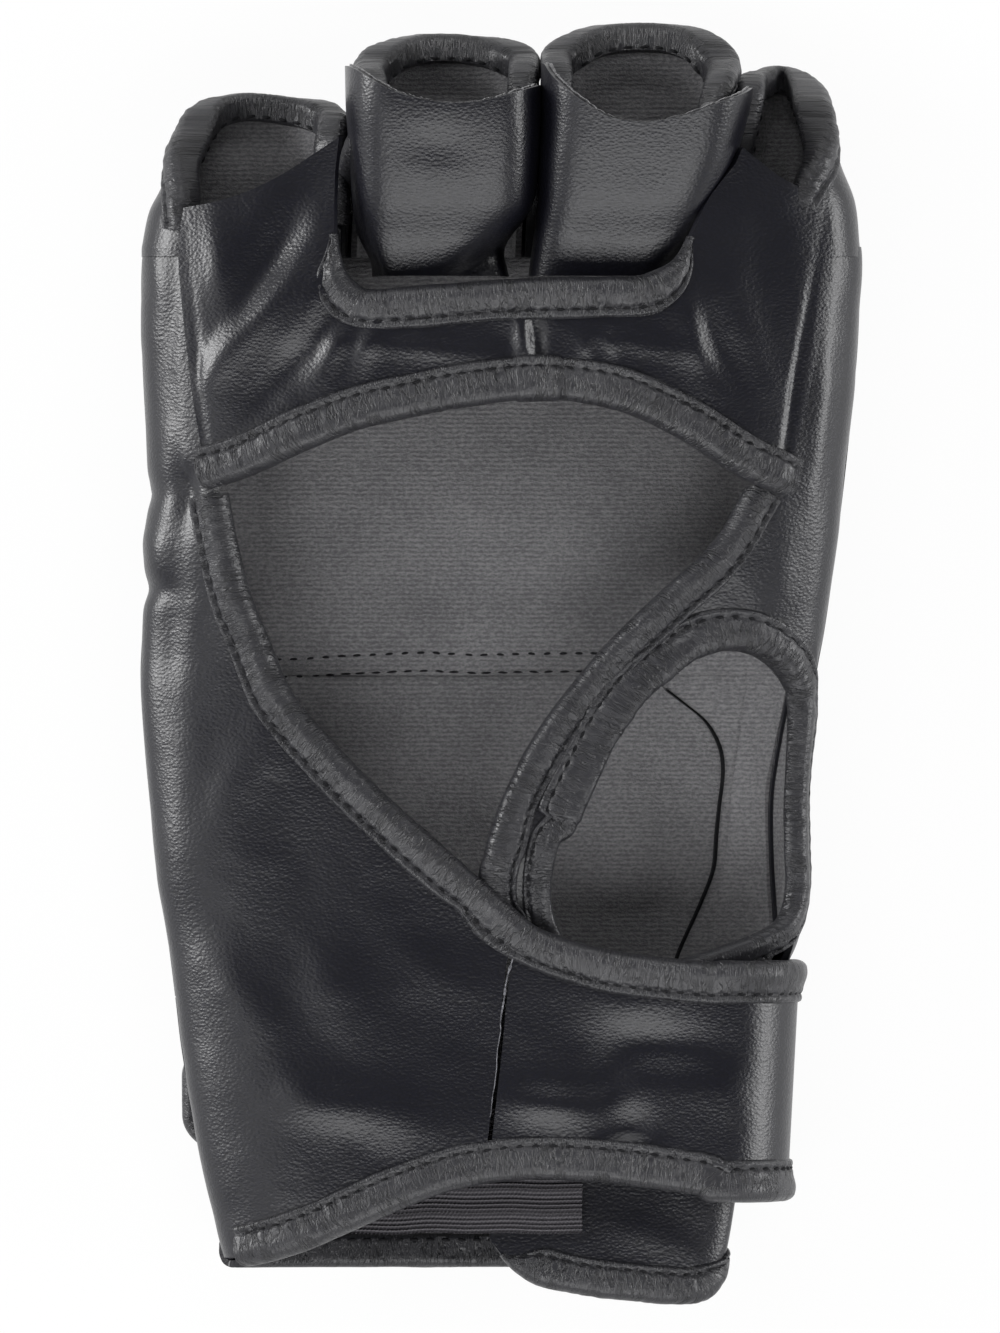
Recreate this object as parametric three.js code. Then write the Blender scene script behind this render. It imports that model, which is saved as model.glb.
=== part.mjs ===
// Mixed martial arts glove for the right hand, lying on its back with the palm up.
// Millimetres: +Y runs to the fingers, +X to the thumb side and +Z out of the palm.
import * as THREE from 'three';

// Overall size and heights above the table
const GLOVE_LENGTH = 215.2;
const GLOVE_WIDTH = 121.6;
const PALM_HEIGHT = 37;
const SEAM_HEIGHT = 20;
const BACK_LIFT = 5;

// Sheets, tapes and clearances
const LEATHER = 1.2;
const LINING = 1;
const GAP = 0.3;
const WIDE_GAP = 0.6;
const FOAM_CLEARANCE = 1.15;
const SIDE_GAP = 0.75;
const NARROW_REACH = 3.8;
const WIDE_REACH = 5.4;
const BINDING_FOLD = 1.5;
const BINDING_WALL = 0.8;
const BRIDGE_LIFT = 2.7;

// Foam pads
const KNUCKLE_FOAM = 12;
const BACK_FOAM = 7;
const FINGER_FOAM = 5;
const FOAM_EDGE = 0.4;

// Finger tubes
const LOOP_HEIGHT = 45;
const LOOP_SEAM_HEIGHT = 21;
const FINGER_LIFT = 12;

// Wrist: strap, flap and elastic
const STRAP_HEIGHT_SHARE = 0.757;
const FLAP_HEIGHT_SHARE = 0.568;
const STRAP_HEIGHT = PALM_HEIGHT * STRAP_HEIGHT_SHARE;
const FLAP_HEIGHT = PALM_HEIGHT * FLAP_HEIGHT_SHARE;
const TAIL_LIFT = 1.6;
const TAIL_LEATHER = 1.5;
const ELASTIC = 1.2;
const ELASTIC_LEFT_DEPTH = 2.9;
const ELASTIC_RIGHT_DEPTH = 5;
const HOOK_TAPE = 1;
const THUMB_LINING_DROP = 1.6;

// Fullness of the rounded sections, 2 being an ellipse
const ROUNDNESS = 2.5;
// Half gap left at a side seam, in radians round the section
const SEAM_ANGLE = 0.01;

// Outlines are named pixel coordinates in a frame seen from straight above
const FRAME_MIDDLE_X_PX = 500;
const FRAME_MIDDLE_Y_PX = 662.5;
const FRAME_HALF_WIDTH_PX = 362;
const FRAME_HALF_LENGTH_PX = 640.5;

// Hand sections: y, left and right edge in pixels, then shares of the palm,
// seam and back heights
const HAND_SHARES = [
  [130, 172, 838, 0.9, 1.1, 1.6],
  [200, 155, 849, 0.96, 1, 1.2],
  [250, 143, 861, 0.98, 1, 1],
  [300, 141, 860, 1, 0.96, 0],
  [360, 142, 857, 1, 0.92, -0.4],
  [470, 147, 846, 0.98, 0.88, -0.6],
  [560, 146, 835, 0.92, 0.84, -0.4],
  [630, 142, 825, 0.85, 0.8, 0.5],
  [675, 140, 817, 0.81, 0.8, 1],
  [720, 142, 815, 0.79, 0.8, 0.3],
  [800, 149, 808, 0.78, 0.78, -0.5],
  [880, 158, 808, 0.77, 0.76, -0.5],
  [945, 168, 797, 0.76, 0.75, 0.4],
  [1000, 175, 765, 0.757, 0.74, 1.1],
  [1050, 181, 745, 0.757, 0.72, 1.2],
  [1150, 198, 742, 0.757, 0.72, 1.2],
  [1250, 222, 730, 0.74, 0.7, 1.2],
  [1303, 240, 715, 0.72, 0.7, 1.2],
];

// Fingers: y, left and right edge of the padded cover in pixels, then shares of
// the seam height and the finger lift
const FINGER_SHARES = {
  pinky: [
    [90, 168, 334, 1.05, 1],
    [150, 160, 334, 1.02, 0.85],
    [248, 148, 331, 1, 0.64],
  ],
  ring: [
    [60, 364, 519, 1.05, 1],
    [130, 364, 516, 1.02, 0.85],
    [160, 365, 512, 1, 0.75],
    [248, 337, 520, 0.96, 0.45],
  ],
  middle: [
    [60, 564, 732, 1.05, 1],
    [100, 564, 730, 1.02, 0.9],
    [130, 562, 722, 1, 0.82],
    [160, 557, 712, 0.98, 0.72],
    [248, 527, 700, 0.96, 0.45],
  ],
  index: [
    [60, 765, 843, 1.05, 1],
    [100, 763, 845, 1.04, 0.92],
    [130, 755, 851, 1.02, 0.82],
    [180, 737, 857, 1, 0.65],
    [248, 710, 858, 1, 0.7],
  ],
};

// Front rim of each finger cover: share of the way round, then y in pixels
const RIM_SHARES = {
  pinky: [[0, 206], [0.16, 156], [0.33, 114], [0.5, 101], [0.67, 105], [0.84, 112], [1, 130]],
  ring: [[0, 88], [0.16, 66], [0.33, 50], [0.5, 42], [0.67, 46], [0.84, 56], [1, 74]],
  middle: [[0, 70], [0.16, 52], [0.33, 36], [0.5, 31], [0.67, 40], [0.84, 62], [1, 88]],
  index: [[0, 84], [0.16, 78], [0.33, 73], [0.5, 80], [0.67, 102], [0.84, 148], [1, 190]],
};

// Loops of the ring and middle finger: y, left and right edge in pixels, then
// share of the loop height
const LOOP_SHARES = {
  ring: [
    [60, 345, 538, 0.98],
    [110, 346, 537, 0.96],
    [165, 351, 533, 0.91],
    [205, 357, 526, 0.86],
    [238, 366, 514, 0.8],
    [278, 380, 498, 0.74],
  ],
  middle: [
    [50, 543, 754, 1],
    [90, 543, 753, 0.98],
    [125, 542, 746, 0.95],
    [165, 540, 734, 0.91],
    [205, 537, 714, 0.86],
    [238, 533, 695, 0.8],
    [278, 528, 668, 0.74],
  ],
};

// Raw front edge of each loop: share of the way over it, then y in pixels
const LOOP_EDGE_SHARES = {
  ring: [[0, 72], [0.15, 80], [0.3, 94], [0.5, 103], [0.7, 97], [0.85, 82], [1, 68]],
  middle: [[0, 62], [0.15, 74], [0.3, 102], [0.5, 120], [0.7, 112], [0.85, 92], [1, 84]],
};

// Share of the way round the flap, then y of its lower edge in pixels
const FLAP_EDGE_SHARES = [
  [0, 1262], [0.2, 1278], [0.36, 1296], [0.55, 1294], [0.72, 1277], [0.87, 1256], [1, 1236],
];

// Panel outlines in pixels
const ULNAR_HIDDEN_PX = [[190, 258], [191, 340], [198, 420], [210, 480]];
const ULNAR_EDGE_PX = [
  [215, 494], [222, 531], [233, 578], [249, 622], [265, 659],
  [283, 696], [345, 768], [441, 856], [481, 890], [522, 925],
];
const STRAP_SEAM_PX = [[518, 932], [508, 956], [497, 1060], [485, 1160]];
const CUFF_EDGE_PX = [
  [480, 1174], [450, 1181], [400, 1199], [350, 1221], [300, 1242], [262, 1254], [244, 1258],
];
const THENAR_HIDDEN_PX = [[812, 258], [804, 360], [784, 440], [758, 490]];
const THENAR_EDGE_PX = [
  [749, 506], [733, 534], [708, 563], [675, 592], [639, 625], [609, 655], [576, 694],
  [546, 734], [522, 777], [509, 805], [501, 831], [494, 860], [493, 880],
];
const THUMB_RIGHT_PX = [
  [794, 915], [799, 880], [797, 840], [797, 808], [799, 765], [802, 712],
];
const THUMB_EDGE_PX = [
  [801, 690], [786, 666], [757, 647], [727, 643], [697, 651], [668, 672],
  [640, 694], [612, 731], [591, 772], [571, 815], [556, 850], [549, 885],
];
const ARC_EDGE_PX = [
  [205, 481], [242, 470], [305, 442], [357, 422], [409, 410], [460, 400],
  [530, 392], [582, 395], [626, 405], [688, 434], [740, 467], [787, 489],
];
const PINKY_EDGE_PX = [[185, 210], [225, 198], [270, 178], [310, 156], [336, 141]];
const NOTCH_EDGE_PX = [
  [335, 175], [335, 215], [337, 255], [342, 282], [360, 298], [400, 298], [500, 290],
  [600, 287], [648, 284], [676, 266], [692, 235], [708, 200], [735, 165],
];
const INDEX_EDGE_PX = [[746, 152], [765, 165], [790, 178], [824, 195]];
const PAD_EDGE_PX = [
  [690, 686], [712, 735], [722, 785], [719, 835], [708, 885], [690, 925], [670, 960],
];
const PAD_ENDS_PX = { crease: 255, knuckleEnd: 673, backStart: 677, backEnd: 994 };
const CUFF_ENDS_PX = { start: 998, end: 1260 };
const { crease, knuckleEnd, backStart, backEnd } = PAD_ENDS_PX;
const FINGER_CREASE_PX = 252.5;
const LOOP_END_PX = 277;
const FLAP_START_PX = 1012;
const ELASTIC_ENDS_PX = { left: 300, right: 580, top: 1108, bottom: 1233 };

// Strap in pixels: y and x of its seam, its edges along the palm, and its end on the back
const STRAP_START_PX = [[931, 528], [957, 513], [1060, 501], [1174, 488]];
const STRAP_TOP_PX = [[528, 931], [547, 941], [604, 957], [660, 965], [716, 970], [760, 970]];
const STRAP_BOTTOM_PX = [[488, 1174], [523, 1170], [606, 1173], [689, 1184], [744, 1191], [765, 1192]];
const STRAP_FOLD_PX = { topX: 800, bottomX: 788, topY: 969, bottomY: 1193 };
const TAIL_END_PX = { x: 180.5, topY: 1045, bottomY: 1150, corner: 33 };
const HOOK_PATCH_PX = { top: 1072, bottom: 1126 };
const LOOP_PATCH_PX = { left: 250, right: 640, top: 1058, bottom: 1142 };
const FLAP_LEFT_PX = [490, 1235];

// Shares along the strap: 0 to 1 is the palm, 1 to 2 the half turn and 2 to 3 the back
const TURN_START_SHARE = 1;
const SPLIT_SHARE = 1.5;
const SPLIT_GAP_SHARE = 0.008;
const BACK_START_SHARE = 2;
const CORNER_START_SHARE = 2.9;
const TAIL_END_SHARE = 3;
const PALM_EDGE_SHARE = 0.97;
const HOOK_PATCH_SHARES = [2.3, 2.84];

// Shares of a sheet that its inner layers leave free
const FINGER_FOAM_SIDE_SHARE = 0.23;
const ULNAR_LINING_SHARE = 0.3;
const FINGER_LINING_SHARE = 0.95;
const CUFF_BINDING_SHARE = 0.06;

// Where sheets end round the section, in radians
const FLAP_BACK_ANGLE = -0.5;
const COVER_WRAP_ANGLE = 0.35;
const LINING_END_ANGLE = 0.12;

const { lerp, clamp, smoothstep } = THREE.MathUtils;
const toX = (px) => ((px - FRAME_MIDDLE_X_PX) / FRAME_HALF_WIDTH_PX) * (GLOVE_WIDTH / 2);
const toY = (px) => ((FRAME_MIDDLE_Y_PX - px) / FRAME_HALF_LENGTH_PX) * (GLOVE_LENGTH / 2);

// Smooth value of one column of a table whose first column rises
function smooth(table, column, at) {
  const last = table.length - 1;
  if (at <= table[0][0]) return table[0][column];
  if (at >= table[last][0]) return table[last][column];
  const i = table.findIndex((row) => row[0] > at) - 1;
  const slope = (k) => {
    const before = table[Math.max(k - 1, 0)];
    const after = table[Math.min(k + 1, last)];
    return (after[column] - before[column]) / (after[0] - before[0]);
  };
  const span = table[i + 1][0] - table[i][0];
  const t = (at - table[i][0]) / span;
  const ease = t * t * (3 - 2 * t);
  const leave = t * (1 - t) * (1 - t) * span * slope(i);
  const arrive = t * t * (t - 1) * span * slope(i + 1);
  return lerp(table[i][column], table[i + 1][column], ease) + leave + arrive;
}

// Points on a smooth line through a list of pixel points
function trace(points, count) {
  const vectors = points.map(([x, y]) => new THREE.Vector3(x, y, 0));
  const curve = new THREE.CatmullRomCurve3(vectors, false, 'centripetal');
  return curve.getSpacedPoints(count - 1).map((p) => [p.x, p.y]);
}

const fuller = (value) => Math.sign(value) * Math.abs(value) ** (2 / ROUNDNESS);
const flatter = (value) => Math.sign(value) * Math.abs(value) ** (ROUNDNESS / 2);

// Point of a rounded section: angle 0 is the right side, a quarter turn the top
function sectionPoint(section, angle, yPx, depth) {
  const across = Math.cos(angle);
  const up = Math.sin(angle);
  const rise = up >= 0 ? section.top - section.side : section.side - section.back;
  const x = section.middle + (section.half - depth) * fuller(across);
  const z = section.side + (rise - depth) * fuller(up);
  const floor = up >= 0 ? z : Math.max(depth, 0);
  return new THREE.Vector3(x, toY(yPx), Math.max(z, floor));
}

function edgesOf(table, yPx) {
  const left = toX(smooth(table, 1, yPx));
  const right = toX(smooth(table, 2, yPx));
  return { middle: (left + right) / 2, half: (right - left) / 2 };
}

function handSection(yPx) {
  return {
    ...edgesOf(HAND_SHARES, yPx),
    top: PALM_HEIGHT * smooth(HAND_SHARES, 3, yPx),
    side: SEAM_HEIGHT * smooth(HAND_SHARES, 4, yPx),
    back: BACK_LIFT * smooth(HAND_SHARES, 5, yPx),
  };
}

function fingerSection(finger, yPx) {
  const table = FINGER_SHARES[finger];
  return {
    ...edgesOf(table, yPx),
    top: LOOP_HEIGHT - BRIDGE_LIFT,
    side: SEAM_HEIGHT * smooth(table, 3, yPx),
    back: FINGER_LIFT * smooth(table, 4, yPx),
  };
}

function loopSection(finger, yPx) {
  const table = LOOP_SHARES[finger];
  const top = LOOP_HEIGHT * smooth(table, 3, yPx);
  return { ...edgesOf(table, yPx), top, side: LOOP_SEAM_HEIGHT, back: 0 };
}

// Surfaces: each takes an angle or share, a y in pixels and a depth below the outside
const handSurface = (angle, yPx, depth) => sectionPoint(handSection(yPx), angle, yPx, depth);
const flapSurface = (angle, yPx, depth) =>
  sectionPoint({ ...handSection(yPx), top: FLAP_HEIGHT }, angle, yPx, depth);
const fingerSurface = (finger) => (angle, yPx, depth) =>
  sectionPoint(fingerSection(finger, yPx), angle, yPx, depth);
const loopSurface = (finger) => (angle, yPx, depth) =>
  sectionPoint(loopSection(finger, yPx), angle, yPx, depth);

// The strap runs flat from its seam, round the thumb side, then flat across the back
const STRAP_RADIUS = (STRAP_HEIGHT - TAIL_LIFT) / 2;
const seamX = (yPx) => toX(smooth(STRAP_START_PX, 1, yPx));

function foldX(yPx) {
  const { topX, bottomX, topY, bottomY } = STRAP_FOLD_PX;
  const share = (yPx - topY) / (bottomY - topY);
  return toX(lerp(topX, bottomX, share)) - STRAP_RADIUS;
}

function strapSurface(share, yPx, depth) {
  const centreX = foldX(yPx);
  const centreZ = TAIL_LIFT + STRAP_RADIUS;
  const radius = STRAP_RADIUS - depth;
  if (share <= TURN_START_SHARE) {
    return new THREE.Vector3(lerp(seamX(yPx), centreX, share), toY(yPx), centreZ + radius);
  }
  if (share <= BACK_START_SHARE) {
    const turn = Math.PI * (share - TURN_START_SHARE);
    const x = centreX + radius * Math.sin(turn);
    return new THREE.Vector3(x, toY(yPx), centreZ + radius * Math.cos(turn));
  }
  const x = lerp(centreX, toX(TAIL_END_PX.x), share - BACK_START_SHARE);
  return new THREE.Vector3(x, toY(yPx), centreZ - radius);
}

// Angle on the palm side at a pixel point, for a sheet lifted clear of the hand's section
function palmAngle([xPx, yPx], lift = 0) {
  const section = handSection(yPx);
  const share = clamp((toX(xPx) - section.middle) / (section.half + lift), -1, 1);
  return Math.acos(flatter(share));
}
const onPalm = (point) => [palmAngle(point), point[1]];
const onBridge = (point) => [palmAngle(point, BRIDGE_LIFT), point[1]];
const strapShare = ([xPx, yPx]) => (toX(xPx) - seamX(yPx)) / (foldX(yPx) - seamX(yPx));
const onStrap = (point) => [strapShare(point), point[1]];

// Indexed triangles as a geometry whose faces look outward
function solid(points, index) {
  let volume = 0;
  for (let i = 0; i < index.length; i += 3) {
    const [a, b, c] = [points[index[i]], points[index[i + 1]], points[index[i + 2]]];
    volume += a.dot(b.clone().cross(c));
  }
  if (volume < 0) index.reverse();
  const geometry = new THREE.BufferGeometry().setFromPoints(points);
  geometry.setIndex(index);
  geometry.computeVertexNormals();
  return geometry;
}

// Closed sheet from a function of two shares and a side, 0 outside and 1 inside
function sheet(columns, rows, pointAt) {
  const points = [];
  const index = [];
  const at = (side, i, j) => (side * (columns + 1) + i) * (rows + 1) + j;
  const quad = (a, b, c, d) => index.push(a, b, c, a, c, d);
  for (const side of [0, 1]) {
    for (let i = 0; i <= columns; i += 1) {
      for (let j = 0; j <= rows; j += 1) points.push(pointAt(i / columns, j / rows, side));
    }
  }
  for (let i = 0; i < columns; i += 1) {
    for (let j = 0; j < rows; j += 1) {
      quad(at(0, i, j), at(0, i + 1, j), at(0, i + 1, j + 1), at(0, i, j + 1));
      quad(at(1, i, j + 1), at(1, i + 1, j + 1), at(1, i + 1, j), at(1, i, j));
    }
    quad(at(0, i + 1, 0), at(0, i, 0), at(1, i, 0), at(1, i + 1, 0));
    quad(at(0, i, rows), at(0, i + 1, rows), at(1, i + 1, rows), at(1, i, rows));
  }
  for (let j = 0; j < rows; j += 1) {
    quad(at(0, 0, j), at(0, 0, j + 1), at(1, 0, j + 1), at(1, 0, j));
    quad(at(0, columns, j + 1), at(0, columns, j), at(1, columns, j), at(1, columns, j + 1));
  }
  return solid(points, index);
}

// Sheet whose columns run straight between two edges that have as many points
function ruled(surface, first, second, rows, outerDepth, innerDepth) {
  const columns = first.length - 1;
  return sheet(columns, rows, (u, v, side) => {
    const i = Math.round(u * columns);
    const a = lerp(first[i][0], second[i][0], v);
    const b = lerp(first[i][1], second[i][1], v);
    return surface(a, b, side ? innerDepth : outerDepth);
  });
}

// Folded tape in section: distance into the panel, then height above its middle
function tapeProfile(slotHalf, reach) {
  const outer = slotHalf + BINDING_WALL;
  const profile = [[reach, slotHalf], [reach, outer]];
  const steps = 2;
  for (let k = 0; k <= steps; k += 1) {
    const turn = (Math.PI * k) / steps;
    profile.push([-BINDING_FOLD * Math.sin(turn), outer * Math.cos(turn)]);
  }
  profile.push([reach, -outer], [reach, -slotHalf]);
  profile.push([-GAP, -slotHalf], [-GAP, slotHalf]);
  return profile;
}

// Step on a surface that moves a point by a given distance in a given direction
function surfaceStep(surface, a, b, direction, distance) {
  const stepA = 0.02;
  const stepB = 1;
  const alongA = surface(a + stepA, b, 0).sub(surface(a - stepA, b, 0)).divideScalar(2 * stepA);
  const alongB = surface(a, b + stepB, 0).sub(surface(a, b - stepB, 0)).divideScalar(2 * stepB);
  const aa = alongA.dot(alongA);
  const ab = alongA.dot(alongB);
  const bb = alongB.dot(alongB);
  const goA = alongA.dot(direction) * distance;
  const goB = alongB.dot(direction) * distance;
  const scale = aa * bb - ab * ab;
  return [a + (goA * bb - goB * ab) / scale, b + (goB * aa - goA * ab) / scale];
}

// Bound edge: a tape folded over the edge of a panel. The panel lies to the left of
// the path seen from outside when side is 1, and to the right when it is -1.
// The panel's inner depth is a number, or a function of the point's place on the path.
function binding(surface, path, side, outerDepth, innerDepth, reach, slack = GAP) {
  const innerAt = typeof innerDepth === 'function' ? innerDepth : () => innerDepth;
  const last = path.length - 1;
  const points = [];
  let profile;
  path.forEach(([a, b], k) => {
    const middle = (outerDepth + innerAt(k)) / 2;
    profile = tapeProfile((innerAt(k) - outerDepth) / 2 + slack, reach);
    const before = path[Math.max(k - 1, 0)];
    const after = path[Math.min(k + 1, last)];
    const tangent = surface(...after, middle).sub(surface(...before, middle));
    const outward = surface(a, b, middle - LEATHER).sub(surface(a, b, middle + LEATHER));
    const into = outward.clone().cross(tangent).normalize().multiplyScalar(side);
    for (const [distance, height] of profile) {
      const [stepA, stepB] = surfaceStep(surface, a, b, into, distance);
      points.push(surface(stepA, stepB, middle - height));
    }
  });
  return sweptSolid(points, profile, last);
}

// Skin over rings of points that share one profile, with both ends capped
function sweptSolid(points, profile, last) {
  const size = profile.length;
  const index = [];
  for (let k = 0; k < last; k += 1) {
    for (let i = 0; i < size; i += 1) {
      const next = (i + 1) % size;
      const [a, b] = [k * size + i, k * size + next];
      index.push(a, b, b + size, a, b + size, a + size);
    }
  }
  const flat = profile.map(([x, y]) => new THREE.Vector2(x, y));
  const caps = THREE.ShapeUtils.triangulateShape(flat, []);
  const start = size * last;
  for (const [a, b, c] of caps) {
    index.push(a, c, b, start + a, start + b, start + c);
  }
  return closeSeams(points, index, size);
}

// The caps' triangles may wind either way, so they are matched to the first wall
function closeSeams(points, index, size) {
  const wallEdge = `${index[0]},${index[1]}`;
  const capStart = index.length - 2 * 3 * (size - 2);
  const edges = [];
  for (let i = capStart; i < index.length; i += 3) {
    const [a, b, c] = index.slice(i, i + 3);
    edges.push(`${a},${b}`, `${b},${c}`, `${c},${a}`);
  }
  if (edges.includes(wallEdge)) {
    for (let i = capStart; i < index.length; i += 3) {
      [index[i + 1], index[i + 2]] = [index[i + 2], index[i + 1]];
    }
  }
  return solid(points, index);
}

// Finishes
const finish = (color, roughness) =>
  new THREE.MeshStandardMaterial({ color, roughness, metalness: 0 });
const materials = {
  leather: () => finish(0x1d1d21, 0.42),
  tape: () => finish(0x26262a, 0.5),
  fabric: () => finish(0x58585a, 0.95),
  foam: () => finish(0x2d2d30, 0.9),
  elastic: () => finish(0x413f44, 0.9),
  hook: () => finish(0x151518, 0.95),
};

const glove = new THREE.Group();
function add(name, geometry, material) {
  const mesh = new THREE.Mesh(geometry, materials[material]());
  mesh.name = name;
  glove.add(mesh);
}

// Foam swells from thin edges to a full middle
const swell = (share) => Math.sin(Math.PI * clamp(share, 0, 1));
const LINING_DEPTH = LEATHER + WIDE_GAP + FOAM_EDGE + FOAM_CLEARANCE;

// Padded stretch of the back of the hand: cover, foam and lining on one set of columns
function addPad(names, startPx, endPx, foam, angleAt, columns, padColumns, rows) {
  const yAt = (v) => lerp(startPx, endPx, v);
  const foamAt = (u, v) => foam * swell((u * columns) / padColumns) * swell(v);
  add(names.cover, sheet(columns, rows, (u, v, side) =>
    handSurface(angleAt(u, yAt(v)), yAt(v), side * LEATHER)), 'leather');
  add(names.foam, sheet(padColumns - 2, rows - 2, (u, v, side) => {
    const a = (1 + u * (padColumns - 2)) / columns;
    const b = (1 + v * (rows - 2)) / rows;
    const depth = LEATHER + WIDE_GAP + side * (FOAM_EDGE + foamAt(a, b));
    return handSurface(angleAt(a, yAt(b)), yAt(b), depth);
  }), 'foam');
  add(names.lining, sheet(padColumns, rows, (u, v, side) => {
    const a = (u * padColumns) / columns;
    return handSurface(angleAt(a, yAt(v)), yAt(v), LINING_DEPTH + foamAt(a, v) + side * LINING);
  }), 'fabric');
}

// Angle on the back of the hand below a pixel point
const backAngle = (xPx, yPx) => 2 * Math.PI - palmAngle([xPx, yPx]);
const padEdgeTable = PAD_EDGE_PX.map(([x, y]) => [y, x]);
const padEdgeAngle = (yPx) => backAngle(smooth(padEdgeTable, 1, yPx), yPx);

function thumbWrap(yPx) {
  const [low, high] = [THUMB_RIGHT_PX[0], THUMB_RIGHT_PX.at(-1)];
  const table = THUMB_RIGHT_PX.map(([x, y]) => [y, x]).reverse();
  const along = clamp(yPx, high[1], low[1]);
  const fadeIn = clamp((yPx - backStart) / (high[1] - backStart), 0, 1);
  const fadeOut = clamp((backEnd - yPx) / (backEnd - low[1]), 0, 1);
  return palmAngle([smooth(table, 1, along), along]) * fadeIn * fadeOut;
}

// Palm opening and thumb hole share these edges with their bindings
const ulnarEdge = trace(ULNAR_EDGE_PX, 16).map(onPalm);
const cuffEdge = trace(CUFF_EDGE_PX, 9).map(onPalm);
const thenarEdge = trace(THENAR_EDGE_PX, 16).map(onPalm);
const thumbEdge = trace(THUMB_EDGE_PX, 17).map(onPalm);
const thumbRight = trace(THUMB_RIGHT_PX, 6).map(onPalm);
const arcEdge = trace(ARC_EDGE_PX, 26).map(onBridge);
const notchEdge = trace(NOTCH_EDGE_PX, 18).map(onBridge);

function addUlnarSide() {
  const hidden = trace(ULNAR_HIDDEN_PX, 5).map(onPalm);
  const seam = trace(STRAP_SEAM_PX, 5).map(onPalm);
  const edge = [...hidden, ...ulnarEdge, ...seam, ...cuffEdge];
  const side = edge.map(([, yPx]) => [Math.PI - SEAM_ANGLE, yPx]);
  add('ulnar_panel', ruled(handSurface, side, edge, 4, 0, LEATHER), 'leather');
  const inner = edge.map(([angle, yPx]) => [lerp(angle, Math.PI, ULNAR_LINING_SHARE), yPx]);
  const liningRows = inner.slice(3, hidden.length + ulnarEdge.length + seam.length);
  const liningSide = liningRows.map(([, yPx]) => [Math.PI - 3 * SEAM_ANGLE, yPx]);
  const depth = LEATHER + GAP;
  add('ulnar_lining', ruled(handSurface, liningSide, liningRows, 3, depth, depth + LINING), 'fabric');
  add('ulnar_binding', binding(handSurface, ulnarEdge, -1, 0, LEATHER, WIDE_REACH), 'tape');
  add('cuff_binding', binding(handSurface, cuffEdge, -1, 0, LEATHER, NARROW_REACH), 'tape');
}

function addThumbSide() {
  const hidden = trace(THENAR_HIDDEN_PX, 6).map(onPalm);
  const edge = [...hidden, ...thenarEdge];
  const sideCount = edge.length - thumbEdge.length;
  const sideStart = THENAR_HIDDEN_PX[0][1];
  const side = Array.from({ length: sideCount }, (_, k) =>
    [SEAM_ANGLE, lerp(sideStart, knuckleEnd, k / (sideCount - 1))]);
  add('thumb_side_panel', ruled(handSurface, edge, [...side, ...thumbEdge], 5, 0, LEATHER), 'leather');
  add('thenar_binding', binding(handSurface, thenarEdge, 1, 0, LEATHER, NARROW_REACH), 'tape');
  const thumbPath = [...thumbRight, ...thumbEdge];
  const hole = binding(handSurface, thumbPath, -1, 0, LEATHER, NARROW_REACH, SIDE_GAP);
  add('thumb_hole_binding', hole, 'tape');
}

function addPalmBridge() {
  const pinky = trace(PINKY_EDGE_PX, 4).map(onBridge);
  const index = trace(INDEX_EDGE_PX, 4).map(onBridge);
  const top = [...pinky, ...notchEdge, ...index];
  const outer = -BRIDGE_LIFT;
  const inner = LEATHER - BRIDGE_LIFT;
  add('palm_bridge', ruled(handSurface, arcEdge, top, 4, outer, inner), 'leather');
  add('arc_binding', binding(handSurface, arcEdge, 1, outer, inner, WIDE_REACH), 'tape');
  const notchPath = notchEdge.slice(2, -3);
  add('notch_binding', binding(handSurface, notchPath, -1, outer, inner, WIDE_REACH), 'tape');
}

const FINGER_COLUMNS = 14;
const FINGER_ROWS = 4;
const FOAM_SIDE_COLUMNS = 3;
const FOAM_COLUMNS = FINGER_COLUMNS - 2 * FOAM_SIDE_COLUMNS;

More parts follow.
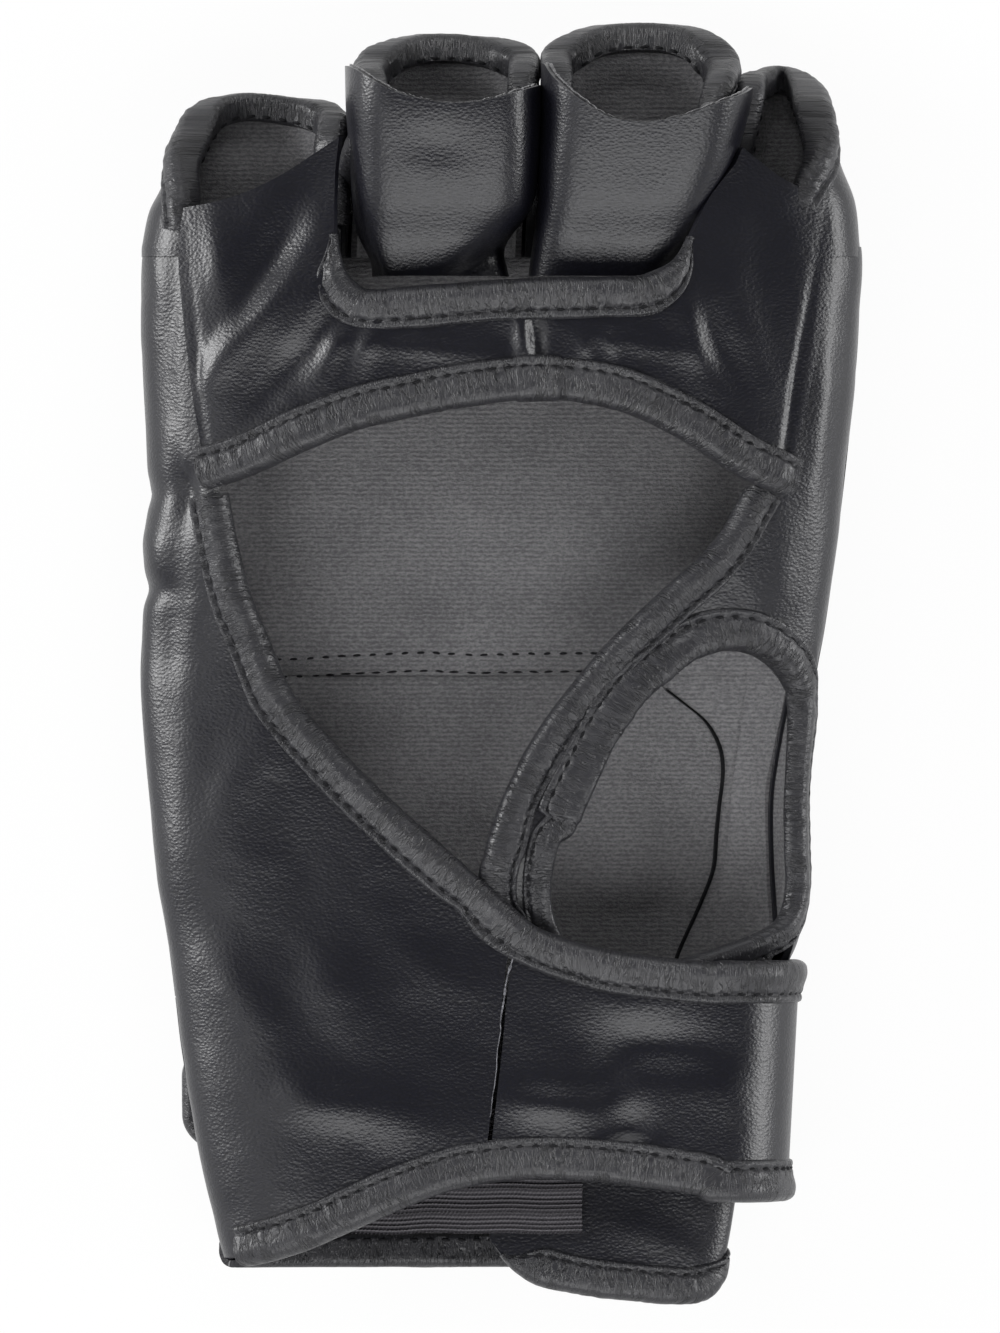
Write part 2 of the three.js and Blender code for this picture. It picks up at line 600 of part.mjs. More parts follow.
// One finger of the back: cover, foam, lining and bound rim
function addFinger(finger) {
  const surface = fingerSurface(finger);
  const rim = (u) => smooth(RIM_SHARES[finger], 1, u);
  const loose = finger === 'ring' || finger === 'middle';
  const wrap = (v) => COVER_WRAP_ANGLE * (loose ? clamp(4 * v - 2, 0, 1) : 1);
  const angle = (u, v) => lerp(Math.PI - wrap(v), 2 * Math.PI + wrap(v), u);
  const yAt = (u, v) => lerp(FINGER_CREASE_PX, rim(u), v);
  const liningDepth = (u) => {
    const full = smoothstep(Math.min(u, 1 - u) * FINGER_COLUMNS, 1, FOAM_SIDE_COLUMNS);
    return lerp(LEATHER + WIDE_GAP, LINING_DEPTH, full);
  };
  const foamAt = (u, v) => {
    const across = (u - FINGER_FOAM_SIDE_SHARE) / (1 - 2 * FINGER_FOAM_SIDE_SHARE);
    return FINGER_FOAM * swell(across) * swell((v * FINGER_ROWS) / (FINGER_ROWS - 1));
  };
  add(`${finger}_cover`, sheet(FINGER_COLUMNS, FINGER_ROWS, (u, v, side) =>
    surface(angle(u, v), yAt(u, v), side * LEATHER)), 'leather');
  add(`${finger}_foam`, sheet(FOAM_COLUMNS, FINGER_ROWS - 1, (u, v, side) => {
    const a = (FOAM_SIDE_COLUMNS + u * FOAM_COLUMNS) / FINGER_COLUMNS;
    const b = (v * (FINGER_ROWS - 1)) / FINGER_ROWS;
    const depth = LEATHER + WIDE_GAP + side * (FOAM_EDGE + foamAt(a, b));
    return surface(angle(a, b), yAt(a, b), depth);
  }), 'foam');
  add(`${finger}_lining`, sheet(FINGER_COLUMNS, FINGER_ROWS, (u, v, side) => {
    const yPx = yAt(u, Math.min(v, FINGER_LINING_SHARE));
    return surface(angle(u, v), yPx, liningDepth(u) + foamAt(u, v) + side * LINING);
  }), 'fabric');
  const path = Array.from({ length: FINGER_COLUMNS + 1 }, (_, k) => {
    const u = k / FINGER_COLUMNS;
    return [angle(u, 1), yAt(u, 1)];
  });
  const nearMiddle = (k) => k + Math.sign(FINGER_COLUMNS / 2 - k);
  const innerAt = (k) => liningDepth(nearMiddle(k) / FINGER_COLUMNS) + LINING;
  const rimTape = binding(surface, path, 1, 0, innerAt, NARROW_REACH, WIDE_GAP);
  add(`${finger}_binding`, rimTape, 'tape');
}

// Leather front of a finger tube, raw at its front edge
function addLoop(finger) {
  const edge = (u) => smooth(LOOP_EDGE_SHARES[finger], 1, u);
  add(`${finger}_loop`, sheet(14, 5, (u, v, side) =>
    loopSurface(finger)(Math.PI * (1 - u), lerp(LOOP_END_PX, edge(u), v), side * LEATHER)), 'leather');
}

const CUFF_COLUMNS = 12;
function addCuff() {
  const { start, end } = CUFF_ENDS_PX;
  const angle = (u) => lerp(Math.PI + SEAM_ANGLE, 2 * Math.PI + FLAP_BACK_ANGLE - SEAM_ANGLE, u);
  add('back_cuff', sheet(CUFF_COLUMNS, 3, (u, v, side) =>
    handSurface(angle(u), lerp(start, end, v), side * LEATHER)), 'leather');
  const liningEnd = 2 * Math.PI + FLAP_BACK_ANGLE - 2 * SEAM_ANGLE;
  const liningAngle = (u) => lerp(Math.PI + LINING_END_ANGLE, liningEnd, u);
  add('cuff_lining', sheet(CUFF_COLUMNS, 3, (u, v, side) =>
    handSurface(liningAngle(u), lerp(start, end, v), LEATHER + GAP + side * LINING)), 'fabric');
  const path = Array.from({ length: CUFF_COLUMNS + 1 }, (_, k) =>
    [angle(lerp(CUFF_BINDING_SHARE, 1, k / CUFF_COLUMNS)), end]);
  add('back_cuff_binding', binding(handSurface, path, -1, 0, LEATHER + GAP + LINING, NARROW_REACH), 'tape');
}

function addFlap() {
  const count = 16;
  const leftAngle = palmAngle(FLAP_LEFT_PX);
  const lower = Array.from({ length: count }, (_, k) => {
    const u = k / (count - 1);
    return [lerp(FLAP_BACK_ANGLE + SEAM_ANGLE, leftAngle, u), smooth(FLAP_EDGE_SHARES, 1, u)];
  });
  const upper = lower.map(([angle]) => [angle, FLAP_START_PX]);
  add('inner_flap', ruled(flapSurface, upper, lower, 3, 0, LEATHER), 'leather');
  const bound = lower.slice(0, -3);
  add('inner_flap_binding', binding(flapSurface, bound, -1, 0, LEATHER, NARROW_REACH, WIDE_GAP), 'tape');
}

function addElastic() {
  const { left, right, top, bottom } = ELASTIC_ENDS_PX;
  add('elastic_band', sheet(8, 3, (u, v, side) => {
    const yPx = lerp(top, bottom, v);
    const depth = lerp(ELASTIC_LEFT_DEPTH, ELASTIC_RIGHT_DEPTH, u) + side * ELASTIC;
    return handSurface(palmAngle([lerp(left, right, u), yPx]), yPx, depth);
  }), 'elastic');
}

const FOLD_COLUMNS = 5;
const TAIL_COLUMNS = 7;
const CORNER_COLUMNS = 3;

// Edges of the strap's palm part from its seam to the split in the fold
function strapEdge(points, foldYPx, count) {
  const palm = trace(points, count).map(onStrap);
  const turn = Array.from({ length: FOLD_COLUMNS + 1 }, (_, k) =>
    [lerp(TURN_START_SHARE, SPLIT_SHARE - SPLIT_GAP_SHARE, k / FOLD_COLUMNS), foldYPx]);
  return [...palm.filter(([share]) => share < PALM_EDGE_SHARE), ...turn];
}

function addStrap() {
  const { topY, bottomY } = STRAP_FOLD_PX;
  const top = strapEdge(STRAP_TOP_PX, topY, 10);
  const bottom = strapEdge(STRAP_BOTTOM_PX, bottomY, 10);
  const columns = Math.min(top.length, bottom.length);
  const upper = top.slice(-columns);
  const lower = bottom.slice(-columns);
  add('strap_panel', ruled(strapSurface, upper, lower, 2, 0, LEATHER), 'leather');
  add('strap_upper_binding', binding(strapSurface, upper, -1, 0, LEATHER, WIDE_REACH), 'tape');
  add('strap_lower_binding', binding(strapSurface, lower, 1, 0, LEATHER, NARROW_REACH), 'tape');
}

// Half of the tail's outline, from the split to the middle of its end
function tailEdge(foldYPx, endYPx, middleYPx, corner) {
  const start = SPLIT_SHARE + SPLIT_GAP_SHARE;
  const edge = Array.from({ length: FOLD_COLUMNS + 1 }, (_, k) =>
    [lerp(start, BACK_START_SHARE, k / FOLD_COLUMNS), foldYPx]);
  for (let k = 1; k <= TAIL_COLUMNS; k += 1) {
    const along = k / TAIL_COLUMNS;
    const ease = smoothstep(along, 0, 1);
    edge.push([lerp(BACK_START_SHARE, CORNER_START_SHARE, along), lerp(foldYPx, endYPx, ease)]);
  }
  const inward = Math.sign(middleYPx - endYPx) * corner;
  for (let k = 1; k <= CORNER_COLUMNS; k += 1) {
    const turn = (Math.PI / 2) * (k / CORNER_COLUMNS);
    const share = lerp(CORNER_START_SHARE, TAIL_END_SHARE, Math.sin(turn));
    edge.push([share, endYPx + inward * (1 - Math.cos(turn))]);
  }
  return edge;
}

function addTail() {
  const { topY, bottomY } = STRAP_FOLD_PX;
  const middleY = (TAIL_END_PX.topY + TAIL_END_PX.bottomY) / 2;
  const upper = tailEdge(topY, TAIL_END_PX.topY, middleY, TAIL_END_PX.corner);
  const lower = tailEdge(bottomY, TAIL_END_PX.bottomY, middleY, TAIL_END_PX.corner);
  add('strap_tail', ruled(strapSurface, upper, lower, 2, 0, TAIL_LEATHER), 'leather');
  const path = [...upper, ...lower.slice().reverse()];
  add('strap_tail_binding', binding(strapSurface, path, -1, 0, TAIL_LEATHER, NARROW_REACH), 'tape');
}

// Fastening: hooks inside the tail's end hold on the loops sewn across the back of the cuff
function addFastening() {
  const hookDepth = TAIL_LEATHER + GAP;
  add('strap_hook_patch', sheet(5, 1, (u, v, side) => {
    const yPx = lerp(HOOK_PATCH_PX.top, HOOK_PATCH_PX.bottom, v);
    return strapSurface(lerp(...HOOK_PATCH_SHARES, u), yPx, hookDepth + side * HOOK_TAPE);
  }), 'hook');
  const { left, right, top, bottom } = LOOP_PATCH_PX;
  add('cuff_loop_patch', sheet(10, 2, (u, v, side) => {
    const angle = backAngle(lerp(left, right, u), (top + bottom) / 2);
    return handSurface(angle, lerp(top, bottom, v), side * HOOK_TAPE - HOOK_TAPE - GAP);
  }), 'hook');
}

const padStart = Math.PI + SEAM_ANGLE;
const padEnd = 2 * Math.PI - SEAM_ANGLE;
addPad(
  { cover: 'knuckle_cover', foam: 'knuckle_foam', lining: 'knuckle_lining' },
  crease, knuckleEnd, KNUCKLE_FOAM, (u) => lerp(padStart, padEnd, u), 16, 16, 6,
);

// The back pad ends short of the thumb side, where a thin lining takes over
const BACK_COLUMNS = 17;
const BACK_PAD_COLUMNS = 12;
const BACK_ROWS = 6;
function backPadAngle(u, yPx) {
  const split = BACK_PAD_COLUMNS / BACK_COLUMNS;
  if (u <= split) return lerp(padStart, padEdgeAngle(yPx), u / split);
  return lerp(padEdgeAngle(yPx), padEnd + thumbWrap(yPx), (u - split) / (1 - split));
}
addPad(
  { cover: 'back_cover', foam: 'back_foam', lining: 'back_lining' },
  backStart, backEnd, BACK_FOAM, backPadAngle, BACK_COLUMNS, BACK_PAD_COLUMNS, BACK_ROWS,
);
const thumbColumns = BACK_COLUMNS - BACK_PAD_COLUMNS - 1;
add('thumb_lining', sheet(thumbColumns, BACK_ROWS, (u, v, side) => {
  const yPx = lerp(backStart, backEnd, v);
  const column = BACK_PAD_COLUMNS + lerp(1 / 2, thumbColumns, u);
  const depth = LEATHER + THUMB_LINING_DROP + side * LINING;
  return handSurface(backPadAngle(column / BACK_COLUMNS, yPx), yPx, depth);
}), 'fabric');
addUlnarSide();
addThumbSide();
addPalmBridge();
Object.keys(FINGER_SHARES).forEach(addFinger);
Object.keys(LOOP_SHARES).forEach(addLoop);
addCuff();
addFlap();
addElastic();
addStrap();
addTail();
addFastening();

export default glove;
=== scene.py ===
"""Grappling glove for the right hand, lying on its padded back with the palm up.

Shapes are worked out in millimetres in the part's own frame: +X runs to the thumb side, +Y to
the fingers and +Z out of the palm. They become metres only when a mesh is made.
"""

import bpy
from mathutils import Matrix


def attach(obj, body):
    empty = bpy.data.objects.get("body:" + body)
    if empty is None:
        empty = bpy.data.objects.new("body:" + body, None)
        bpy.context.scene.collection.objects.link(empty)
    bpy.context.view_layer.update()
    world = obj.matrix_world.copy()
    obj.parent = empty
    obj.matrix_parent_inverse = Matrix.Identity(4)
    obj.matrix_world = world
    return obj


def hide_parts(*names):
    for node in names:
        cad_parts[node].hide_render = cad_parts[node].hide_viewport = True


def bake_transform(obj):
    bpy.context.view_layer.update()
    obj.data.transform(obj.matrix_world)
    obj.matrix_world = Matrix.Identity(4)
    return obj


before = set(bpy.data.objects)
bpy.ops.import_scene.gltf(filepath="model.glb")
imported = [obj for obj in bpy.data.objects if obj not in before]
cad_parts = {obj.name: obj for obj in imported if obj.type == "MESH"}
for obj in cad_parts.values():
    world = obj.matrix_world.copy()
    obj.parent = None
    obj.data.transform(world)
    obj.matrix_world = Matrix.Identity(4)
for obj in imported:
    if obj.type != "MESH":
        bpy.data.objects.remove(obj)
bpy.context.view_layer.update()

import logging
import math
from collections.abc import Callable, Sequence
from dataclasses import dataclass, field
from enum import Enum

import bpy
import numpy as np
from numpy.typing import NDArray

Array = NDArray[np.float64]
Surface = Callable[[Array, Array, Array], Array]
Relief = Callable[[Array, Array], Array]
log = logging.getLogger("glove")


class Body(Enum):
    """Rigid bodies of the part."""

    HAND = "hand"
    FINGERS = "fingers"
    STRAP = "strap"
    STRAP_END = "strap_end"


# Numbers that vary smoothly


def smooth(table: Sequence[Sequence[float]], column: int, at: Array) -> Array:
    """Smooth value of a table's column.

    A cubic runs through the rows. Its slope at a row is that of the line between the two
    neighbours, and beyond the ends the value stays.

    Args:
        table: rows whose first number rises.
        column: the column to read.
        at: values of the first column.

    Returns:
        The column's value at each of them.
    """
    rows = np.asarray(table, float)
    x, y = rows[:, 0], rows[:, column]
    slope = np.empty_like(y)
    slope[1:-1] = (y[2:] - y[:-2]) / (x[2:] - x[:-2])
    slope[0] = (y[1] - y[0]) / (x[1] - x[0])
    slope[-1] = (y[-1] - y[-2]) / (x[-1] - x[-2])
    at = np.asarray(at, float)
    i = np.clip(np.searchsorted(x, at, side="right") - 1, 0, len(x) - 2)
    span = x[i + 1] - x[i]
    t = np.clip((at - x[i]) / span, 0, 1)
    ease = t * t * (3 - 2 * t)
    leave = t * (1 - t) ** 2 * span * slope[i]
    arrive = t * t * (t - 1) * span * slope[i + 1]
    return y[i] + (y[i + 1] - y[i]) * ease + leave + arrive


def smoothstep(at: Array, low: float, high: float) -> Array:
    """Eased share from 0 at low to 1 at high: 3 t squared less 2 t cubed."""
    t = np.clip((np.asarray(at, float) - low) / (high - low), 0, 1)
    return t * t * (3 - 2 * t)


def lerp(a: Array | float, b: Array | float, t: Array | float) -> Array:
    """Straight mix of a and b."""
    return a + (np.asarray(b) - a) * t


def ripple(at: Array, seed: int) -> Array:
    """Smooth random wave from -1 to 1, eased between random values at whole numbers."""
    values = np.random.default_rng(seed).uniform(-1, 1, 509)
    whole = np.floor(at).astype(int)
    t = at - whole
    ease = t * t * (3 - 2 * t)
    return lerp(values[whole % 509], values[(whole + 1) % 509], ease)


def cloud(x: Array, y: Array, seed: int) -> Array:
    """Smooth random field of two numbers from -1 to 1, eased between random grid values."""
    values = np.random.default_rng(seed).uniform(-1, 1, (127, 131))
    i, j = np.floor(x).astype(int), np.floor(y).astype(int)
    s, t = x - i, y - j
    s, t = s * s * (3 - 2 * s), t * t * (3 - 2 * t)
    near = lerp(values[i % 127, j % 131], values[(i + 1) % 127, j % 131], s)
    far = lerp(values[i % 127, (j + 1) % 131], values[(i + 1) % 127, (j + 1) % 131], s)
    return lerp(near, far, t)


def trace(points: Sequence[Sequence[float]], count: int) -> Array:
    """Points evenly spaced on a smooth line through a few pixel points.

    The line is a centripetal Catmull-Rom curve: between two points a cubic whose end tangents
    come from the neighbours, with knots spaced by the root of the distance.

    Args:
        points: pixel points that the line goes through.
        count: how many points to return.

    Returns:
        An array of count rows of x and y.
    """
    p = np.asarray(points, float)
    p = np.vstack([2 * p[0] - p[1], p, 2 * p[-1] - p[-2]])
    knot = np.maximum(np.linalg.norm(np.diff(p, axis=0), axis=1), 1e-6) ** 0.5
    before, own, after = knot[:-2, None], knot[1:-1, None], knot[2:, None]
    a, b, c, d = p[:-3], p[1:-2], p[2:-1], p[3:]
    leave = ((b - a) / before - (c - a) / (before + own) + (c - b) / own) * own
    arrive = ((c - b) / own - (d - b) / (own + after) + (d - c) / after) * own
    t = np.linspace(0, 1, 40)[None, :, None]
    dense = (
        (2 * t**3 - 3 * t**2 + 1) * b[:, None]
        + (t**3 - 2 * t**2 + t) * leave[:, None]
        + (3 * t**2 - 2 * t**3) * c[:, None]
        + (t**3 - t**2) * arrive[:, None]
    ).reshape(-1, 2)
    step = np.linalg.norm(np.diff(dense, axis=0), axis=1)
    along = np.concatenate([[0], np.cumsum(step)])
    at = np.linspace(0, along[-1], count)
    return np.stack([np.interp(at, along, dense[:, k]) for k in (0, 1)], axis=1)


def running_mean(rows: Array, reach: int, low: int, high: int) -> Array:
    """Rows eased along the first axis between low and high by a running mean.

    Each row becomes the mean of its neighbours, and the change fades out towards low and high.
    """
    kernel = np.hanning(2 * reach + 3)[1:-1]
    kernel /= kernel.sum()
    flat = rows.reshape(len(rows), -1)
    padded = np.concatenate([flat[:1].repeat(reach, 0), flat, flat[-1:].repeat(reach, 0)])
    mean = sum(w * padded[k : k + len(flat)] for k, w in enumerate(kernel))
    k = np.arange(len(rows))
    weight = smoothstep(k, low, low + reach) * (1 - smoothstep(k, high - reach, high))
    return (flat + (mean - flat) * weight[:, None]).reshape(rows.shape)


# The glove's form


@dataclass(frozen=True)
class Outline:
    """Outlines in the pixel frame of a view from straight above, and section tables."""

    hand: tuple = (
        (130, 172, 838, 0.9, 1.1, 1.6),
        (200, 155, 849, 0.96, 1, 1.2),
        (250, 143, 861, 0.98, 1, 1),
        (300, 141, 860, 1, 0.96, 0),
        (360, 142, 857, 1, 0.92, -0.4),
        (470, 147, 846, 0.98, 0.88, -0.6),
        (560, 146, 835, 0.92, 0.84, -0.4),
        (630, 142, 825, 0.85, 0.8, 0.5),
        (675, 140, 817, 0.81, 0.8, 1),
        (720, 142, 815, 0.79, 0.8, 0.3),
        (800, 149, 808, 0.78, 0.78, -0.5),
        (880, 158, 808, 0.77, 0.76, -0.5),
        (945, 168, 797, 0.76, 0.75, 0.4),
        (1000, 175, 765, 0.757, 0.74, 1.1),
        (1050, 181, 745, 0.757, 0.72, 1.2),
        (1150, 198, 742, 0.757, 0.72, 1.2),
        (1250, 222, 727, 0.74, 0.7, 1.2),
        (1303, 240, 708, 0.72, 0.7, 1.2),
    )
    ulnar_hidden: tuple = ((188, 247), (191, 340), (198, 420), (210, 480))
    ulnar: tuple = (
        (215, 494), (222, 531), (233, 578), (249, 622), (265, 659),
        (283, 696), (345, 768), (441, 856), (481, 890), (522, 925),
    )
    seam: tuple = ((518, 932), (508, 956), (497, 1060), (485, 1160))
    cuff: tuple = (
        (480, 1174), (450, 1181), (400, 1199), (350, 1221), (300, 1242), (262, 1254), (244, 1258),
    )
    thenar_hidden: tuple = ((814, 247), (804, 360), (784, 440), (758, 490))
    thenar: tuple = (
        (749, 506), (733, 534), (708, 563), (675, 592), (639, 625), (609, 655), (576, 694),
        (546, 734), (522, 777), (509, 805), (501, 831), (494, 860), (491, 885), (494, 910), (505, 935),
    )
    thumb_right: tuple = (
        (690, 968), (730, 955), (764, 941), (788, 922), (798, 893), (797, 848), (797, 808),
        (799, 765), (802, 712),
    )
    thumb: tuple = (
        (801, 690), (786, 666), (757, 647), (727, 643), (697, 651), (668, 672), (640, 694),
        (614, 731), (595, 768), (576, 808), (568, 830), (556, 840), (550, 862), (549, 885),
        (553, 915), (566, 943),
    )
    arc: tuple = (
        (205, 481), (242, 470), (305, 442), (357, 422), (409, 410), (460, 400),
        (530, 392), (582, 395), (626, 405), (688, 434), (740, 467), (787, 489),
    )
    pinky_front: tuple = ((184, 209), (217, 203), (251, 192), (281, 177), (316, 154), (339, 139))
    notch: tuple = (
        (335, 175), (335, 215), (337, 255), (342, 282), (360, 298), (400, 298), (500, 290),
        (600, 287), (648, 284), (676, 266), (692, 235), (708, 200), (735, 165),
    )
    index_front: tuple = ((742, 149), (760, 164), (780, 179), (800, 189), (827, 197))
    pad_edge: tuple = (
        (676, 686), (701, 704), (724, 722), (739, 746), (743, 771), (739, 808), (736, 838),
        (733, 869), (721, 900), (698, 948), (690, 970),
    )
    allowance: tuple = (
        ((754, 655), (747, 720), (738, 790), (730, 860), (716, 950)),
        ((791, 690), (781, 740), (773, 795), (773, 857), (777, 925)),
        ((793, 690), (783, 740), (775, 795), (775, 857), (779, 925)),
    )
    flap_edge: tuple = (
        (0, 1264), (0.2, 1276), (0.36, 1292), (0.46, 1296), (0.6, 1295), (0.7, 1292), (0.8, 1288),
        (0.9, 1279), (0.95, 1270), (0.98, 1259), (1, 1240),
    )
    strap_start: tuple = ((931, 528), (957, 513), (1060, 501), (1174, 488))
    strap_top: tuple = ((528, 931), (547, 941), (604, 957), (660, 965), (716, 970), (760, 970))
    strap_bottom: tuple = ((488, 1174), (523, 1170), (606, 1173), (689, 1184), (744, 1191), (765, 1192))
    fingers: dict = field(default_factory=lambda: {
        "pinky": (
            (90, 184, 341, 1.05, 0.9), (125, 183, 341, 1.04, 0.8), (150, 175, 340, 1.02, 0.75),
            (174, 167, 342, 1.01, 0.7), (190, 160, 344, 1, 0.66), (212, 149, 345, 1, 0.64),
            (248, 141.5, 346, 1, 0.64),
        ),
        "ring": (
            (60, 362, 532, 1.05, 1), (110, 356, 534, 1.02, 0.85), (160, 346, 536, 1, 0.75),
            (248, 340, 532, 0.96, 0.45),
        ),
        "middle": (
            (60, 548, 732, 1.05, 1), (100, 547, 730, 1.02, 0.9), (130, 546, 722, 1, 0.82),
            (160, 538, 714, 0.98, 0.72), (200, 531, 709, 0.97, 0.6), (248, 526, 704, 0.96, 0.45),
        ),
        "index": (
            (60, 744, 820, 1.05, 0.6), (100, 741, 824, 1.04, 0.5), (137, 733, 834, 1.02, 0.5),
            (165, 728, 841, 1, 0.55), (202, 718, 855, 1, 0.6), (248, 706, 860, 1, 0.7),
        ),
    })
    rims: dict = field(default_factory=lambda: {
        "pinky": ((0, 206), (0.16, 156), (0.33, 114), (0.5, 101), (0.67, 105), (0.84, 112), (1, 130)),
        "ring": ((0, 88), (0.16, 66), (0.33, 50), (0.5, 42), (0.67, 46), (0.84, 56), (1, 74)),
        "middle": ((0, 70), (0.16, 52), (0.33, 36), (0.5, 31), (0.67, 40), (0.84, 62), (1, 88)),
        "index": ((0, 84), (0.16, 78), (0.33, 73), (0.5, 80), (0.67, 102), (0.84, 148), (1, 190)),
    })
    loops: dict = field(default_factory=lambda: {
        "ring": (
            (60, 345, 542, 0.98), (110, 346, 542, 0.96), (165, 350, 539, 0.91), (205, 353, 534, 0.86),
            (238, 357, 524, 0.8), (278, 366, 514, 0.74),
        ),
        "middle": (
            (50, 541, 754, 1), (90, 540, 753, 0.98), (125, 540, 746, 0.95), (165, 538, 734, 0.91),
            (205, 537, 716, 0.86), (238, 533, 700, 0.8), (278, 528, 684, 0.74),
        ),
    })
    loop_edges: dict = field(default_factory=lambda: {
        "ring": (
            (345, 67), (356, 72), (376, 85), (396, 95), (416, 101), (436, 105), (456, 106),
            (476, 105), (496, 101), (516, 95), (536, 89), (540, 87),
        ),
        "middle": (
            (543, 66), (550, 77), (560, 87), (573, 98), (585, 106), (600, 115), (615, 121), (645, 125),
            (665, 123), (680, 120), (695, 116), (710, 110), (722, 105), (735, 100), (747, 94), (756, 86),
        ),
    })
    crease: float = 255
    knuckle_end: float = 673
    back_start: float = 677
    back_end: float = 994
    cuff_start: float = 998
    cuff_end: float = 1260
    finger_crease: float = 252.5
    loop_end: float = 277
    flap_start: float = 1012
    flap_left: tuple = (490, 1235)
    elastic: tuple = (300, 596, 1108, 1233)
    fold_top: tuple = (800, 969)
    fold_bottom: tuple = (788, 1193)
    tail: tuple = (189.5, 1045, 1150, 33)
    hook_patch: tuple = (2.3, 2.84, 1072, 1126)
    loop_patch: tuple = (250, 640, 1058, 1142)


@dataclass(frozen=True)
class GloveForm:
    """Rounded sections that every panel of the glove lies on.

    A section is a superellipse: across is the half width times the cosine of the angle raised
    to 2 over roundness, and up is the rise above the side seam times the sine raised alike.
    Every layer is the same section drawn in by its depth.
    """

    outline: Outline
    length: float = 215.2
    width: float = 121.6
    palm_height: float = 37.0
    seam_height: float = 20.0
    back_lift: float = 5.0
    loop_height: float = 45.0
    loop_seam: float = 21.0
    finger_lift: float = 12.0
    outer_top: float = 31.5
    flap_height: float = 21.016
    strap_height: float = 28.009
    tail_lift: float = 1.6
    bridge_lift: float = 2.7
    roundness: float = 2.5
    loop_roundness: float = 4.4
    middle_px: tuple[float, float] = (500.0, 662.5)
    half_px: tuple[float, float] = (362.0, 640.5)

    def x(self, px: Array | float) -> Array:
        """Millimetres across from a pixel column."""
        return (np.asarray(px) - self.middle_px[0]) / self.half_px[0] * self.width / 2

    def y(self, px: Array | float) -> Array:
        """Millimetres along from a pixel row."""
        return (self.middle_px[1] - np.asarray(px)) / self.half_px[1] * self.length / 2

    def x_px(self, x: Array) -> Array:
        """Pixel column from millimetres across."""
        return x / (self.width / 2) * self.half_px[0] + self.middle_px[0]

    def y_px(self, y: Array) -> Array:
        """Pixel row from millimetres along."""
        return self.middle_px[1] - y / (self.length / 2) * self.half_px[1]

    def fuller(self, value: Array, roundness: float | None = None) -> Array:
        """Cosine or sine drawn out to the section's roundness."""
        return np.sign(value) * np.abs(value) ** (2 / (roundness or self.roundness))

    def flatter(self, value: Array) -> Array:
        """The way back from fuller."""
        return np.sign(value) * np.abs(value) ** (self.roundness / 2)

    def edges(self, table: Sequence, y_px: Array) -> tuple[Array, Array]:
        """Middle and half width of a table's section, in millimetres."""
        left, right = self.x(smooth(table, 1, y_px)), self.x(smooth(table, 2, y_px))
        return (left + right) / 2, (right - left) / 2

    def point(
        self, middle: Array, half: Array, top: Array, side: Array, back: Array,
        angle: Array, y_px: Array, depth: Array, roundness: float | None = None,
    ) -> Array:
        """Point of a section; under the side seam it never comes lower than its depth."""
        across, up = np.cos(angle), np.sin(angle)
        above = up >= 0
        rise = np.where(above, top - side, side - back)
        x = middle + (half - depth) * self.fuller(across, roundness)
        z = side + (rise - depth) * self.fuller(up, roundness)
        floor = np.maximum(depth, 0)
        eased = (z + floor + np.sqrt((z - floor) ** 2 + 0.16)) / 2
        z = np.where(above, z, eased)
        x, y, z = np.broadcast_arrays(x, self.y(y_px), z)
        return np.stack([x, y, z], axis=-1)

    def hand(self, angle: Array, y_px: Array, depth: Array, top: float | None = None) -> Array:
        """The hand's tube, from the finger crease to the cuff."""
        table = self.outline.hand
        middle, half = self.edges(table, y_px)
        high = self.palm_height * smooth(table, 3, y_px) if top is None else top
        side = self.seam_height * smooth(table, 4, y_px)
        back = self.back_lift * smooth(table, 5, y_px)
        return self.point(middle, half, high, side, back, angle, y_px, depth)

    def flap(self, angle: Array, y_px: Array, depth: Array) -> Array:
        """The inner flap's lower tube."""
        return self.hand(angle, y_px, depth, self.flap_height)

    def finger(self, name: str) -> Surface:
        """The padded back of one finger."""
        table = self.outline.fingers[name]

        def surface(angle: Array, y_px: Array, depth: Array) -> Array:
            """Point of a finger pad's tube.

            Args:
                angle: turn round the section.
                y_px: place along the glove, in the photograph's rows.
                depth: how far inside the outer face.

            Returns:
                The places in millimetres.
            """
            middle, half = self.edges(table, y_px)
            side = self.seam_height * smooth(table, 3, y_px)
            back = self.finger_lift * smooth(table, 4, y_px)
            top = self.loop_height - self.bridge_lift if name in self.outline.loops else self.outer_top
            return self.point(middle, half, top, side, back, angle, y_px, depth)

        return surface

    def loop(self, name: str) -> Surface:
        """The leather front of one finger tube."""
        table = self.outline.loops[name]

        def surface(angle: Array, y_px: Array, depth: Array) -> Array:
            """Point of a finger front's tube.

            Args:
                angle: turn round the section.
                y_px: place along the glove, in the photograph's rows.
                depth: how far inside the outer face.

            Returns:
                The places in millimetres.
            """
            middle, half = self.edges(table, y_px)
            top = self.loop_height * smooth(table, 3, y_px)
            return self.point(middle, half, top, self.loop_seam, 0.0, angle, y_px, depth, self.loop_roundness)

        return surface

    def palm_angle(self, x_px: Array, y_px: Array, lift: float = 0.0) -> Array:
        """Angle on the palm side above a pixel point, for a sheet lifted clear of the section."""
        middle, half = self.edges(self.outline.hand, y_px)
        share = np.clip((self.x(x_px) - middle) / (half + lift), -1, 1)
        return np.arccos(self.flatter(share))

    @property
    def fold_radius(self) -> float:
        """Radius of the strap's half turn."""
        return (self.strap_height - self.tail_lift) / 2

    def seam_x(self, y_px: Array) -> Array:
        """Where the strap starts on the palm."""
        return self.x(smooth(self.outline.strap_start, 1, y_px))

